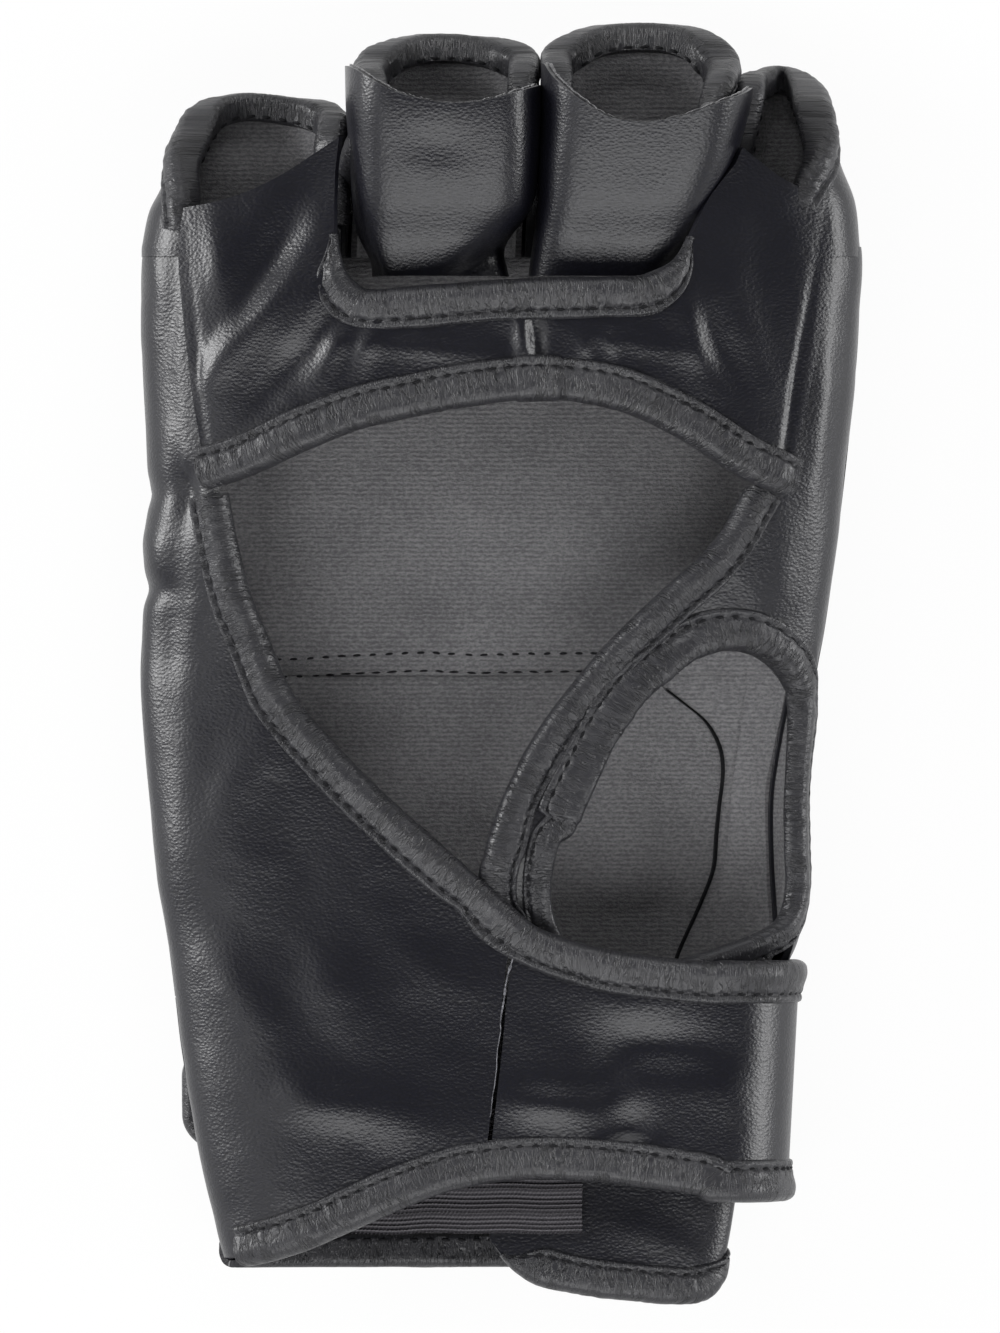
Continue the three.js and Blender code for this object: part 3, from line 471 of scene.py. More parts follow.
    def fold_x(self, y_px: Array) -> Array:
        """Centre of the strap's half turn."""
        (top_x, top_y), (low_x, low_y) = self.outline.fold_top, self.outline.fold_bottom
        share = (np.asarray(y_px) - top_y) / (low_y - top_y)
        return self.x(lerp(top_x, low_x, share)) - self.fold_radius

    def strap(self, share: Array, y_px: Array, depth: Array) -> Array:
        """The strap: share 0 to 1 is the palm, 1 to 2 the half turn and 2 to 3 the back."""
        share, y_px, depth = np.broadcast_arrays(share, y_px, depth)
        centre = self.fold_x(y_px)
        level = self.tail_lift + self.fold_radius
        radius = self.fold_radius - depth
        turn = math.pi * np.clip(share - 1, 0, 1)
        x = centre + radius * np.sin(turn)
        x = np.where(share <= 1, lerp(self.seam_x(y_px), centre, share), x)
        x = np.where(share >= 2, lerp(centre, self.x(self.outline.tail[0]), share - 2), x)
        return np.stack([x, self.y(y_px), level + radius * np.cos(turn)], axis=-1)


FORM = GloveForm(Outline())


def on_palm(points: Array, lift: float = 0.0) -> Array:
    """Pixel points as angle and row on the hand's tube, or on a sheet lifted clear of it."""
    return np.stack([FORM.palm_angle(points[:, 0], points[:, 1], lift), points[:, 1]], axis=1)


def on_strap(points: Array) -> Array:
    """Pixel points as share and row on the strap."""
    start, end = FORM.seam_x(points[:, 1]), FORM.fold_x(points[:, 1])
    return np.stack([(FORM.x(points[:, 0]) - start) / (end - start), points[:, 1]], axis=1)


@dataclass(frozen=True)
class Ridge:
    """One soft fold or dent, a bell that is longer along its own direction.

    Height is the peak times the exponent of minus the squared distances along and across, each
    over its own reach.
    """

    x: float
    y: float
    turn: float
    length: float
    width: float
    height: float

    def at(self, x_px: Array, y_px: Array) -> Array:
        """Height in millimetres at pixel points."""
        c, s = math.cos(math.radians(self.turn)), math.sin(math.radians(self.turn))
        dx, dy = x_px - self.x, y_px - self.y
        along, across = dx * c + dy * s, -dx * s + dy * c
        return self.height * np.exp(-((along / self.length) ** 2) - (across / self.width) ** 2)


def relief_of(ridges: Sequence[Ridge], swell: float = 0.0, seed: int = 1) -> Relief:
    """Sum of ridges and a slow random swell, as a function of millimetres across and along."""

    def relief(x: Array, y: Array) -> Array:
        """Swell of two sizes with every ridge on top.

        Args:
            x: place across, in millimetres.
            y: place along, in millimetres.

        Returns:
            The height in millimetres.
        """
        x_px, y_px = FORM.x_px(x), FORM.y_px(y)
        height = swell * cloud(x / 11 + 40, y / 11 + 40, seed)
        height = height + 0.4 * swell * cloud(x / 4.2 + 90, y / 4.2 + 60, seed + 1)
        for ridge in ridges:
            height = height + ridge.at(x_px, y_px)
        return height

    return relief


def lay(surface: Surface, a: Array, b: Array, depth: Array | float, relief: Relief | None) -> Array:
    """Points of a surface, lifted outward by a relief read at their own place."""
    points = surface(a, b, np.asarray(depth, float))
    if relief is None:
        return points
    lift = relief(points[..., 0], points[..., 1])
    return surface(a, b, depth - lift)


# Meshes


def grid_quads(columns: int, rows: int, start: int) -> NDArray[np.int64]:
    """Quads of a grid whose points run along the rows first."""
    i, j = np.meshgrid(np.arange(columns - 1), np.arange(rows - 1), indexing="ij")
    a = start + i * rows + j
    return np.stack([a, a + rows, a + rows + 1, a + 1], axis=-1).reshape(-1, 4)


@dataclass
class Skin:
    """A closed sheet between an outer and an inner grid of points, in millimetres.

    The two grids share their columns and rows, and strips of quads close the four edges.
    """

    outer: Array
    inner: Array
    uv: Array | None = None

    def quads(self) -> NDArray[np.int64]:
        """Faces of both grids and of the strips along the edges."""
        columns, rows = self.outer.shape[:2]
        size = columns * rows
        front = grid_quads(columns, rows, 0)
        back = grid_quads(columns, rows, size)[:, ::-1]
        index = np.arange(size).reshape(columns, rows)
        ring = np.concatenate([index[:, 0], index[-1, 1:], index[-2::-1, -1], index[0, -2:0:-1]])
        following = np.roll(ring, -1)
        strip = np.stack([following, ring, ring + size, following + size], axis=-1)
        return np.concatenate([front, back, strip])

    def points(self) -> Array:
        """Both grids as one list."""
        return np.concatenate([self.outer.reshape(-1, 3), self.inner.reshape(-1, 3)])

    def map(self) -> Array:
        """Distance along the columns and rows, in millimetres, for both grids."""
        if self.uv is not None:
            flat = self.uv.reshape(-1, 2)
            return np.concatenate([flat, flat])
        step_u = np.linalg.norm(np.diff(self.outer, axis=0), axis=-1).mean(1)
        step_v = np.linalg.norm(np.diff(self.outer, axis=1), axis=-1).mean(0)
        u, v = np.concatenate([[0], step_u.cumsum()]), np.concatenate([[0], step_v.cumsum()])
        flat = np.stack(np.meshgrid(u, v, indexing="ij"), axis=-1).reshape(-1, 2)
        return np.concatenate([flat, flat])


def signed_volume(points: Array, quads: NDArray[np.int64]) -> float:
    """Volume inside the quads, positive where they face outward."""
    a, b, c, d = (points[quads[:, k]] for k in range(4))
    first = np.einsum("ij,ij->i", a, np.cross(b, c))
    second = np.einsum("ij,ij->i", a, np.cross(c, d))
    return float((first + second).sum() / 6)


def make_mesh(name: str, points: Array, quads: NDArray[np.int64], uv: Array | None) -> bpy.types.Object:
    """Mesh object at the origin from points in millimetres.

    Args:
        name: the piece's name.
        points: places in the part's frame.
        quads: faces, turned about where they face inward.
        uv: a place on the piece's own map for each point, in millimetres.

    Returns:
        The new object, in the scene.
    """
    if signed_volume(points, quads) < 0:
        quads = quads[:, ::-1]
    mesh = bpy.data.meshes.new(name)
    mesh.vertices.add(len(points))
    mesh.vertices.foreach_set("co", (points * 0.001).astype(np.float32).ravel())
    mesh.loops.add(quads.size)
    mesh.loops.foreach_set("vertex_index", quads.astype(np.int32).ravel())
    mesh.polygons.add(len(quads))
    mesh.polygons.foreach_set("loop_start", np.arange(0, quads.size, 4, dtype=np.int32))
    mesh.update(calc_edges=True)
    if uv is not None:
        layer = mesh.uv_layers.new(name="cut")
        layer.data.foreach_set("uv", uv[quads.ravel()].astype(np.float32).ravel())
    mesh.shade_smooth()
    mesh.set_sharp_from_angle(angle=math.radians(58))
    mesh.validate()
    piece = bpy.data.objects.new(name, mesh)
    bpy.context.scene.collection.objects.link(piece)
    return piece


def sheet_on(
    name: str, surface: Surface, a: Array, b: Array, outer: Array | float, inner: Array | float,
    relief: Relief | None = None,
) -> bpy.types.Object:
    """Sheet between two depths of a surface, lifted as one by a relief."""
    skin = Skin(lay(surface, a, b, outer, relief), lay(surface, a, b, inner, relief))
    return make_mesh(name, skin.points(), skin.quads(), skin.map())


def between(first: Array, second: Array, rows: int) -> tuple[Array, Array]:
    """Grid of places whose rows run straight from one edge to another.

    Args:
        first: places along one edge, a row each.
        second: as many places along the other edge.
        rows: how many points from edge to edge.

    Returns:
        The two coordinates of every place.
    """
    v = np.linspace(0, 1, rows)[None, :]
    a = lerp(first[:, :1], second[:, :1], v)
    b = lerp(first[:, 1:], second[:, 1:], v)
    return a, b


# Shader maths


class Signal:
    """A shader value: a socket, or a plain number, that takes Python's operators."""

    def __init__(self, graph: "Graph", source: "bpy.types.NodeSocket | float") -> None:
        """Keeps the graph that the value belongs to."""
        self.graph = graph
        self.source = source

    def _math(self, operation: str, *others: "Signal | float", clamp: bool = False) -> "Signal":
        """A Math node on this value and others."""
        values = [self.source, *(o.source if isinstance(o, Signal) else o for o in others)]
        node = self.graph.node(
            "ShaderNodeMath", {"operation": operation, "use_clamp": clamp}, dict(enumerate(values))
        )
        return Signal(self.graph, node.outputs[0])

    def __add__(self, other: "Signal | float") -> "Signal":
        """Sum."""
        return self._math("ADD", other)

    __radd__ = __add__

    def __mul__(self, other: "Signal | float") -> "Signal":
        """Product."""
        return self._math("MULTIPLY", other)

    __rmul__ = __mul__

    def __sub__(self, other: "Signal | float") -> "Signal":
        """Difference."""
        return self._math("SUBTRACT", other)

    def __rsub__(self, other: float) -> "Signal":
        """Number less this value."""
        return Signal(self.graph, other)._math("SUBTRACT", self)

    def sine(self) -> "Signal":
        """Sine of the value."""
        return self._math("SINE")

    def share(self, low: float, high: float) -> "Signal":
        """0 below low, 1 above high and eased between."""
        node = self.graph.node(
            "ShaderNodeMapRange", {"interpolation_type": "SMOOTHSTEP"},
            {0: self.source, 1: low, 2: high, 3: 0.0, 4: 1.0},
        )
        return Signal(self.graph, node.outputs[0])


class Graph:
    """Node tree of one material, built from a node's type, settings and inputs."""

    def __init__(self, name: str) -> None:
        """Starts a material with only its output."""
        self.material = bpy.data.materials.new(name)
        self.material.use_nodes = True
        self.tree = self.material.node_tree
        self.tree.nodes.clear()

    def node(self, kind: str, settings: dict | None = None, inputs: dict | None = None) -> bpy.types.Node:
        """Adds a node.

        Args:
            kind: Blender's name of the node's type.
            settings: properties, set before the inputs. A ramp's stops go under "stops".
            inputs: numbers, colours, signals or sockets by the socket's name or place.

        Returns:
            The node.
        """
        node = self.tree.nodes.new(kind)
        for key, value in (settings or {}).items():
            if key == "stops":
                for k, (place, color) in enumerate(value):
                    stops = node.color_ramp.elements
                    stop = stops[k] if k < 2 else stops.new(place)
                    stop.position, stop.color = place, (*color, 1.0)
            else:
                setattr(node, key, value)
        for key, value in (inputs or {}).items():
            source = value.source if isinstance(value, Signal) else value
            if isinstance(source, bpy.types.NodeSocket):
                self.tree.links.new(source, node.inputs[key])
            else:
                node.inputs[key].default_value = source
        return node

    def place(self) -> bpy.types.NodeSocket:
        """Object coordinates, in metres."""
        return self.node("ShaderNodeTexCoord").outputs["Object"]

    def cut_map(self) -> bpy.types.NodeSocket:
        """The piece's own map, in millimetres along and across."""
        return self.node("ShaderNodeUVMap", {"uv_map": "cut"}).outputs[0]

    def stretched(self, vector: bpy.types.NodeSocket, scale: Sequence[float]) -> bpy.types.NodeSocket:
        """The vector times a size on each axis."""
        node = self.node("ShaderNodeVectorMath", {"operation": "MULTIPLY"}, {0: vector, 1: tuple(scale)})
        return node.outputs[0]

    def part(self, vector: bpy.types.NodeSocket, axis: int) -> Signal:
        """One number of a vector."""
        return Signal(self, self.node("ShaderNodeSeparateXYZ", None, {0: vector}).outputs[axis])

    def noise(
        self, vector: bpy.types.NodeSocket, scale: float, detail: float = 2.0, rough: float = 0.5,
    ) -> Signal:
        """Noise from 0 to 1."""
        node = self.node(
            "ShaderNodeTexNoise", None,
            {"Vector": vector, "Scale": scale, "Detail": detail, "Roughness": rough},
        )
        return Signal(self, node.outputs[0])

    def cells(self, vector: bpy.types.NodeSocket, scale: float) -> Signal:
        """Distance to the nearest of scattered points, for a pebbled grain."""
        node = self.node(
            "ShaderNodeTexVoronoi", {"feature": "SMOOTH_F1"},
            {"Vector": vector, "Scale": scale, "Smoothness": 0.4},
        )
        return Signal(self, node.outputs[0])

    def bump(self, height: Signal, distance: float, strength: float = 1.0) -> bpy.types.NodeSocket:
        """Normal from a height."""
        values = {"Strength": strength, "Distance": distance, "Height": height}
        node = self.node("ShaderNodeBump", None, values)
        return node.outputs[0]

    def mix(self, share: Signal, low: Sequence[float], high: Sequence[float]) -> bpy.types.NodeSocket:
        """Colour between two, by a share."""
        node = self.node(
            "ShaderNodeMix", {"data_type": "RGBA"}, {0: share, 6: (*low, 1.0), 7: (*high, 1.0)}
        )
        return node.outputs[2]

    def surface(self, **inputs: object) -> bpy.types.Material:
        """Closes the tree with one Principled shader."""
        named = {key.replace("_", " "): value for key, value in inputs.items()}
        shader = self.node("ShaderNodeBsdfPrincipled", None, named)
        self.node("ShaderNodeOutputMaterial", None, {0: shader.outputs[0]})
        return self.material


@dataclass(frozen=True)
class GrainedLeather:
    """Coated leather with a fine pebble, darker in its pores and glossier on its crowns."""

    name: str = "coated_leather"
    crown: tuple[float, float, float] = (0.007, 0.0072, 0.0118)
    pore: tuple[float, float, float] = (0.0035, 0.0035, 0.0065)
    rough: float = 0.31
    cell_per_m: float = 1500.0
    grain_height: float = 0.00006

    def material(self) -> bpy.types.Material:
        """Builds the finish."""
        g = Graph(self.name)
        place = g.place()
        drawn = g.stretched(place, (1.0, 1.5, 1.2))
        pebble = g.cells(drawn, self.cell_per_m)
        fine = g.noise(place, 2600.0, 3.0, 0.6)
        wave = g.noise(place, 160.0, 3.0, 0.55)
        patch = g.noise(place, 45.0, 2.0, 0.5)
        height = (1.0 - pebble) * 0.8 + fine * 0.45 + wave * 0.9
        shade = pebble.share(0.15, 0.75)
        rough = self.rough - 0.05 + patch * 0.08 + shade * 0.06
        return g.surface(
            Base_Color=g.mix(shade, self.crown, self.pore), Roughness=rough,
            Specular_IOR_Level=0.55, Normal=g.bump(height, self.grain_height),
        )


@dataclass(frozen=True)
class CreasedTape:
    """Thin coated tape, drawn round an edge, with fine creases across it, painted darker in them as painted
    shade.
    """

    name: str = "binding_tape"
    crown: tuple[float, float, float] = (0.021, 0.021, 0.025)
    # Colour of the creases: painted shade, darker than the tape's own colour.
    crease: tuple[float, float, float] = (0.004, 0.004, 0.006)
    rough: float = 0.33

    def material(self) -> bpy.types.Material:
        """Builds the finish."""
        g = Graph(self.name)
        cut = g.cut_map()
        wave = g.noise(g.stretched(cut, (0.8, 0.2, 1.0)), 1.0, 2.0, 0.55) - 0.5
        fine = g.noise(g.stretched(cut, (2.2, 0.45, 1.0)), 1.0, 2.0, 0.5) - 0.5
        busy = g.noise(g.stretched(cut, (0.13, 0.22, 1.0)), 1.0, 2.0, 0.5).share(0.4, 0.6)
        grain = g.noise(g.place(), 2300.0, 3.0, 0.6)
        patch = g.noise(g.place(), 120.0, 2.0, 0.5)
        # Crease masks: besides denting the bump they darken the base colour below, painted shade in the
        # creases.
        line = (1.0 - (wave * wave).share(0.0, 0.0035)) * (busy * 0.75 + 0.25)
        hair = (1.0 - (fine * fine).share(0.0, 0.003)) * (0.35 + busy * 0.25)
        height = grain * 0.22 - line * 0.8 - hair * 0.35
        return g.surface(
            Base_Color=g.mix(line * 0.7 + hair * 0.3, self.crown, self.crease),
            Roughness=self.rough + patch * 0.1 + line * 0.1,
            Specular_IOR_Level=0.6, Normal=g.bump(height, 0.00026),
        )


@dataclass(frozen=True)
class RibbedKnit:
    """Grey knitted lining: rows across the glove, broken into small loops, with a matt nap."""

    name: str = "ribbed_lining"
    light: tuple[float, float, float] = (0.245, 0.243, 0.248)
    dark: tuple[float, float, float] = (0.095, 0.094, 0.1)
    row_per_m: float = 1250.0

    def material(self) -> bpy.types.Material:
        """Builds the finish."""
        g = Graph(self.name)
        place = g.place()
        wobble = g.noise(place, 300.0, 2.0, 0.5)
        rows = (g.part(place, 1) * (2 * math.pi * self.row_per_m) + wobble * 5.0).sine() * 0.5 + 0.5
        loops = g.noise(g.stretched(place, (1.0, 1.7, 1.0)), 1500.0, 2.0, 0.6)
        fuzz = g.noise(place, 3800.0, 2.0, 0.7)
        patch = g.noise(place, 70.0, 3.0, 0.6)
        height = rows * 0.3 + loops.share(0.3, 0.7) * 0.5 + fuzz * 0.6
        shade = (height * 0.62 + patch * 0.35).share(0.28, 1.1)
        return g.surface(
            Base_Color=g.mix(shade, self.dark, self.light), Roughness=0.95,
            Specular_IOR_Level=0.15, Sheen_Weight=0.25, Sheen_Roughness=0.5,
            Normal=g.bump(height, 0.00016),
        )


@dataclass(frozen=True)
class RibbedElastic:
    """Woven elastic: cords along its length with a slanted lock stitch between them."""

    name: str = "ribbed_elastic"
    light: tuple[float, float, float] = (0.12, 0.115, 0.125)
    dark: tuple[float, float, float] = (0.035, 0.033, 0.038)
    pitch_mm: float = 0.84

    def material(self) -> bpy.types.Material:
        """Builds the finish."""
        g = Graph(self.name)
        cut = g.cut_map()
        along, across = g.part(cut, 0), g.part(cut, 1)
        cord = (across * (2 * math.pi / self.pitch_mm)).sine() * 0.5 + 0.5
        lock = (along * 9.5 + across * 5.0).sine() * 0.5 + 0.5
        fuzz = g.noise(g.place(), 2600.0, 2.0, 0.6)
        height = cord * 0.9 + lock * 0.3 + fuzz * 0.3
        return g.surface(
            Base_Color=g.mix(height.share(0.3, 1.3), self.dark, self.light), Roughness=0.9,
            Specular_IOR_Level=0.2, Normal=g.bump(height, 0.00035),
        )


@dataclass(frozen=True)
class PlainFinish:
    """One colour with a fine speckle, for foam, thread, hook tape and cut edges."""

    name: str
    light: tuple[float, float, float]
    dark: tuple[float, float, float]
    rough: float
    speckle_per_m: float = 1800.0
    height: float = 0.00012

    def material(self) -> bpy.types.Material:
        """Builds the finish."""
        g = Graph(self.name)
        speck = g.noise(g.place(), self.speckle_per_m, 3.0, 0.65)
        return g.surface(
            Base_Color=g.mix(speck.share(0.3, 0.7), self.dark, self.light), Roughness=self.rough,
            Specular_IOR_Level=0.3, Normal=g.bump(speck, self.height),
        )


class Finish(Enum):
    """Finishes of the glove, each with the slot of the part that it dresses."""

    LEATHER = "leather"
    TAPE = "tape"
    LINING = "lining"
    FOAM = "foam"
    ELASTIC = "elastic"
    HOOK = "hook_and_loop"
    THREAD = "thread"
    RAW_EDGE = "raw_edge"


class Wardrobe:
    """Makes each finish once."""

    recipes = {
        Finish.LEATHER: GrainedLeather(),
        Finish.TAPE: CreasedTape(),
        Finish.LINING: RibbedKnit(),
        Finish.ELASTIC: RibbedElastic(),
        Finish.FOAM: PlainFinish("pad_foam", (0.03, 0.03, 0.034), (0.02, 0.02, 0.023), 0.9),
        Finish.HOOK: PlainFinish(
            "hook_tape", (0.014, 0.014, 0.016), (0.004, 0.004, 0.005), 0.9, 1500.0, 0.0004,
        ),
        Finish.THREAD: PlainFinish(
            "sewing_thread", (0.007, 0.007, 0.009), (0.002, 0.002, 0.003), 0.8, 3000.0,
        ),
        Finish.RAW_EDGE: PlainFinish("cut_edge", (0.2, 0.2, 0.22), (0.012, 0.012, 0.015), 0.9, 700.0),
    }

    def __init__(self) -> None:
        """Builds the materials."""
        self.made = {finish: recipe.material() for finish, recipe in self.recipes.items()}

    def dress(self, piece: bpy.types.Object, finish: Finish) -> None:
        """Puts a finish on a piece."""
        piece.data.materials.append(self.made[finish])
        slots = {Finish.THREAD: "tape", Finish.RAW_EDGE: "lining"}
        slots.get(finish, finish.value)


WARDROBE = Wardrobe()
FINGER_BEND = ((0.0, 0.032, 0.0), (0.0, 0.075, 0.0))
SEAM_AXIS = np.array([0.0, -65.2])
SEAM_ACROSS = np.array([0.99360, -0.11297])
FOLD_BEND = ((0.0, -0.07, 0.0225), (0.0, -0.07, 0.0085))


def settle(
    piece: bpy.types.Object, finish: Finish, bodies: Sequence[Body], stands_for: Sequence[str] = (),
) -> bpy.types.Object:
    """Dresses a finished piece and hangs it on its body; with two bodies it only bakes the piece's transform.

    Args:
        piece: the piece.
        finish: its finish.
        bodies: one body to ride on; with two, the piece hangs on neither and does not bend.
        stands_for: the part's nodes that the piece shows.

    Returns:
        The piece.
    """
    WARDROBE.dress(piece, finish)
    if len(bodies) == 1:
        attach(piece, bodies[0].value)
    else:
        if Body.FINGERS in bodies:
            start, end = FINGER_BEND
        elif Body.HAND in bodies:
            near, far = SEAM_AXIS - 2.0 * SEAM_ACROSS, SEAM_AXIS + 11.0 * SEAM_ACROSS
            start, end = (*(near * 0.001), 0.0), (*(far * 0.001), 0.0)
        else:
            start, end = FOLD_BEND
        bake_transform(piece)
        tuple(start)
        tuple(end)
    if stands_for:
        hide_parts(*stands_for)
    log.info("%s: %d faces on %s", piece.name, len(piece.data.polygons), "+".join(b.value for b in bodies))
    return piece


BENDING = (Body.HAND, Body.FINGERS)


# Tapes and stitches


@dataclass(frozen=True)
class TapeCut:
    """A tape folded over an edge, in section.

    Its top runs from a lip, past a stitched groove and a rolled ridge, to the fold, and the
    underside runs back. Heights are counted from the middle of the panel that it holds.
    """

    reach: float = 5.7
    fold: float = 1.5
    panel: float = 1.2
    slack: float = 0.1
    wall: float = 0.62
    roll: float = 0.8
    lip: float = 1.5
    crinkle: float = 0.2
    seed: int = 1
    points: int = 34

    @property
    def stitch(self) -> float:
        """Distance of the stitches from the edge."""
        return self.reach - self.lip

    def chains(self) -> tuple[Array, Array]:
        """Outer and inner section lines.

        Returns:
            Two arrays of distance into the panel and height, as long as each other. The outer
            one is base height plus a bell at the roll less a narrow bell at the stitches, and
            it drops as a quarter ellipse at the lip and at the fold.
        """
        half = self.panel / 2 + self.slack
        flat = self.points - 12
        d = np.linspace(self.reach, 0, flat)
        base = half + self.wall
        roll = self.roll * np.exp(-(((d - 0.7) / (0.38 * self.reach)) ** 2))
        groove = 0.5 * np.exp(-(((d - self.stitch) / 0.42) ** 2))
        height = base + roll - groove
        end = np.clip((d - self.reach + 0.55) / 0.55, 0, 1)
        height = half + (height - half) * np.sqrt(np.maximum(1 - end**2, 0.0))
        turn = np.linspace(0, math.pi, 12)[1:]
        crown = height[-1]
        rise = crown * np.cos(turn) * (1 - 0.06 * (1 - np.cos(turn)))
        fold = np.stack([-self.fold * np.sin(turn), rise], 1)
        under_d = np.linspace(0, self.reach - 0.4, 9)[1:]
        under_end = np.clip((under_d - self.reach + 0.9) / 0.5, 0, 1)
        under_h = -(half + (abs(fold[-1, 1]) - half) * np.sqrt(1 - under_end**2))
        outer = np.concatenate([np.stack([d, height], 1), fold, np.stack([under_d, under_h], 1)])
        inner_d = np.interp(np.arange(len(outer)), [0, flat, flat + 10, len(outer) - 1],
                            [self.reach, -0.25, -0.25, self.reach - 0.4])
        inner_h = np.interp(np.arange(len(outer)), [0, flat, flat + 10, len(outer) - 1],
                            [half - 0.04, half - 0.04, -half + 0.04, -half + 0.04])
        return outer, np.stack([inner_d, inner_h], 1)


@dataclass
class Tape:
    """Rings of a tape along its path, before it becomes one or more meshes."""

    cut: TapeCut
    outer: Array
    inner: Array
    offset: float = 0.0

    @classmethod
    def along(
        cls, cut: TapeCut, surface: Surface, path: Array, side: int, outer_depth: float,
        inner_depth: Array | float, spacing: float = 0.42, relief: Relief | None = None,
        narrow: Callable[[Array], Array] | None = None,
    ) -> "Tape":
        """Carries the section along a path on a surface.

        At each place the section's distances are stepped in the surface's own two coordinates,
        by least squares on its two tangents, so a wide tape follows the curve of its panel.

        Args:
            cut: the section.
            surface: the surface that the path lies on.
            path: places along the edge of the panel.
            side: 1 where the panel lies to the left of the path, else -1.
            outer_depth: depth of the panel's outside.
            inner_depth: depth of its inside, for all or for each place.
            spacing: distance between rings.
            relief: lift of the panel.
            narrow: share of the width that is kept, by the share of the way along.

        Returns:
            The tape.
        """
        inner_depth = np.broadcast_to(inner_depth, len(path))
        line = surface(path[:, 0], path[:, 1], outer_depth + inner_depth / 2)
        run = np.concatenate([[0], np.cumsum(np.linalg.norm(np.diff(line, axis=0), axis=1))])
        at = np.linspace(0, run[-1], max(int(run[-1] / spacing), 8))
        a, b, inside = (np.interp(at, run, column) for column in (path[:, 0], path[:, 1], inner_depth))
        middle = (outer_depth + inside) / 2
        thick = inside - outer_depth
        line = surface(a, b, middle)
        tangent = np.gradient(line, axis=0)
        outward = surface(a, b, middle - 1) - surface(a, b, middle + 1)
        into = np.cross(outward, tangent) * side
        into /= np.linalg.norm(into, axis=1, keepdims=True)
        zero = np.zeros_like(a)
        along_a = (surface(a + 0.02, b, zero) - surface(a - 0.02, b, zero)) / 0.04
        along_b = (surface(a, b + 1, zero) - surface(a, b - 1, zero)) / 2
        aa, ab, bb = (np.einsum("ij,ij->i", p, q) for p, q in
                      ((along_a, along_a), (along_a, along_b), (along_b, along_b)))
        go_a, go_b = np.einsum("ij,ij->i", along_a, into), np.einsum("ij,ij->i", along_b, into)
        scale = aa * bb - ab * ab
        step_a, step_b = (go_a * bb - go_b * ab) / scale, (go_b * aa - go_a * ab) / scale
        outer_chain, inner_chain = cut.chains()
        width = np.ones(len(at)) if narrow is None else narrow(at / run[-1])
        grids = []
        for chain in (outer_chain, inner_chain):
            d = chain[None, :, 0] * width[:, None]
            spare = (thick[:, None] - cut.panel) / 2
            h = chain[None, :, 1] * (0.4 + 0.6 * width[:, None]) + np.sign(chain[None, :, 1]) * spare
            h = np.where(np.abs(chain[None, :, 1]) < 1e-6, 0, h)
            if relief is not None:
                lift = relief(line[:, 0], line[:, 1])[:, None]
                h = h + lift
            grids.append(surface(a[:, None] + step_a[:, None] * d, b[:, None] + step_b[:, None] * d,
                                 middle[:, None] - h))
        return cls(cut, *grids)

    def joined(self, other: "Tape", reach: int = 9) -> "Tape":
        """This tape and the next as one, eased across the join."""
        outer = np.concatenate([self.outer, other.outer])
        inner = np.concatenate([self.inner, other.inner])
        k = len(self.outer)
        low, high = k - 3 * reach, k + 3 * reach
        return Tape(self.cut, running_mean(outer, reach, low, high), running_mean(inner, reach, low, high))

    def places(self) -> tuple[Array, Array]:
        """Distance along the tape and place across the section, for each outer point."""
        middle = self.outer[:, self.cut.points // 2]
        run = np.concatenate([[0], np.cumsum(np.linalg.norm(np.diff(middle, axis=0), axis=1))])
        chain, _ = self.cut.chains()
        step = np.linalg.norm(np.diff(chain, axis=0), axis=1)
        return run, np.concatenate([[0], step.cumsum()])

    def normals(self) -> Array:
        """Outward normals of the outer grid."""
        along = np.gradient(self.outer, axis=0)
        across = np.gradient(self.outer, axis=1)
        normal = np.cross(along, across)
        normal /= np.maximum(np.linalg.norm(normal, axis=-1, keepdims=True), 1e-9)
        inward = self.inner[:, 4] - self.outer[:, 4]
        if np.einsum("ij,ij->", normal[:, 4], inward) > 0:
            normal = -normal
        return normal

    def creased(self, amount: Array | float = 1.0) -> "Tape":
        """The tape with creases pressed across it.

        A crease is a random wave along the tape whose sharp troughs lean as they cross it. It
        is deepest over the roll, and dies out at the lip, the stitches and under the fold.
        """
        run, across = self.places()
        chain, _ = self.cut.chains()
        d, h = chain[:, 0], chain[:, 1]
        near = np.exp(-(((d - self.cut.stitch) / 0.7) ** 2))
        body = smoothstep(self.cut.stitch - d, 0.2, 1.2) * smoothstep(h, -0.9, 0.6)
        lip = 0.3 * smoothstep(d - self.cut.stitch, 0.1, 0.7)
        weight = (body + lip) * (1 - 0.75 * near)
        lean = ripple(run / 6.5, self.cut.seed + 3)[:, None] * 0.35
        t = run[:, None] + lean * across[None, :]
        size = np.broadcast_to(np.asarray(amount, float), len(run))[:, None]
        wave = ripple(t / 0.85, self.cut.seed) * 0.65 + ripple(t / 1.9 + 7, self.cut.seed + 1) * 0.75
        wave = wave * (0.55 + 0.45 * cloud(t / 2.6, across[None, :] / 1.4 + 0 * t, self.cut.seed + 2))
        wave = -np.abs(wave) + 0.35
        bed = 0.16 * ripple(run / 5, self.cut.seed + 5)[:, None] * smoothstep(h, -0.5, 0.5)[None, :]
        gather = np.exp(-(((d - self.cut.stitch + 1.3) / 1.1) ** 2)) * smoothstep(h, 0, 0.5)
        beat = ripple((run + self.offset) / 1.3, self.cut.seed + 9)
        bed = bed + 0.11 * size * beat[:, None] * gather[None, :]
        between = 0.5 + 0.5 * np.cos(2 * math.pi * (run + self.offset) / STITCH_PITCH)
        tuck = 0.3 * between[:, None] ** 2 * (near * smoothstep(h, 0, 0.5))[None, :]
        push = self.cut.crinkle * size * weight[None, :] * wave + bed + tuck
        return Tape(self.cut, self.outer + self.normals() * push[..., None], self.inner)

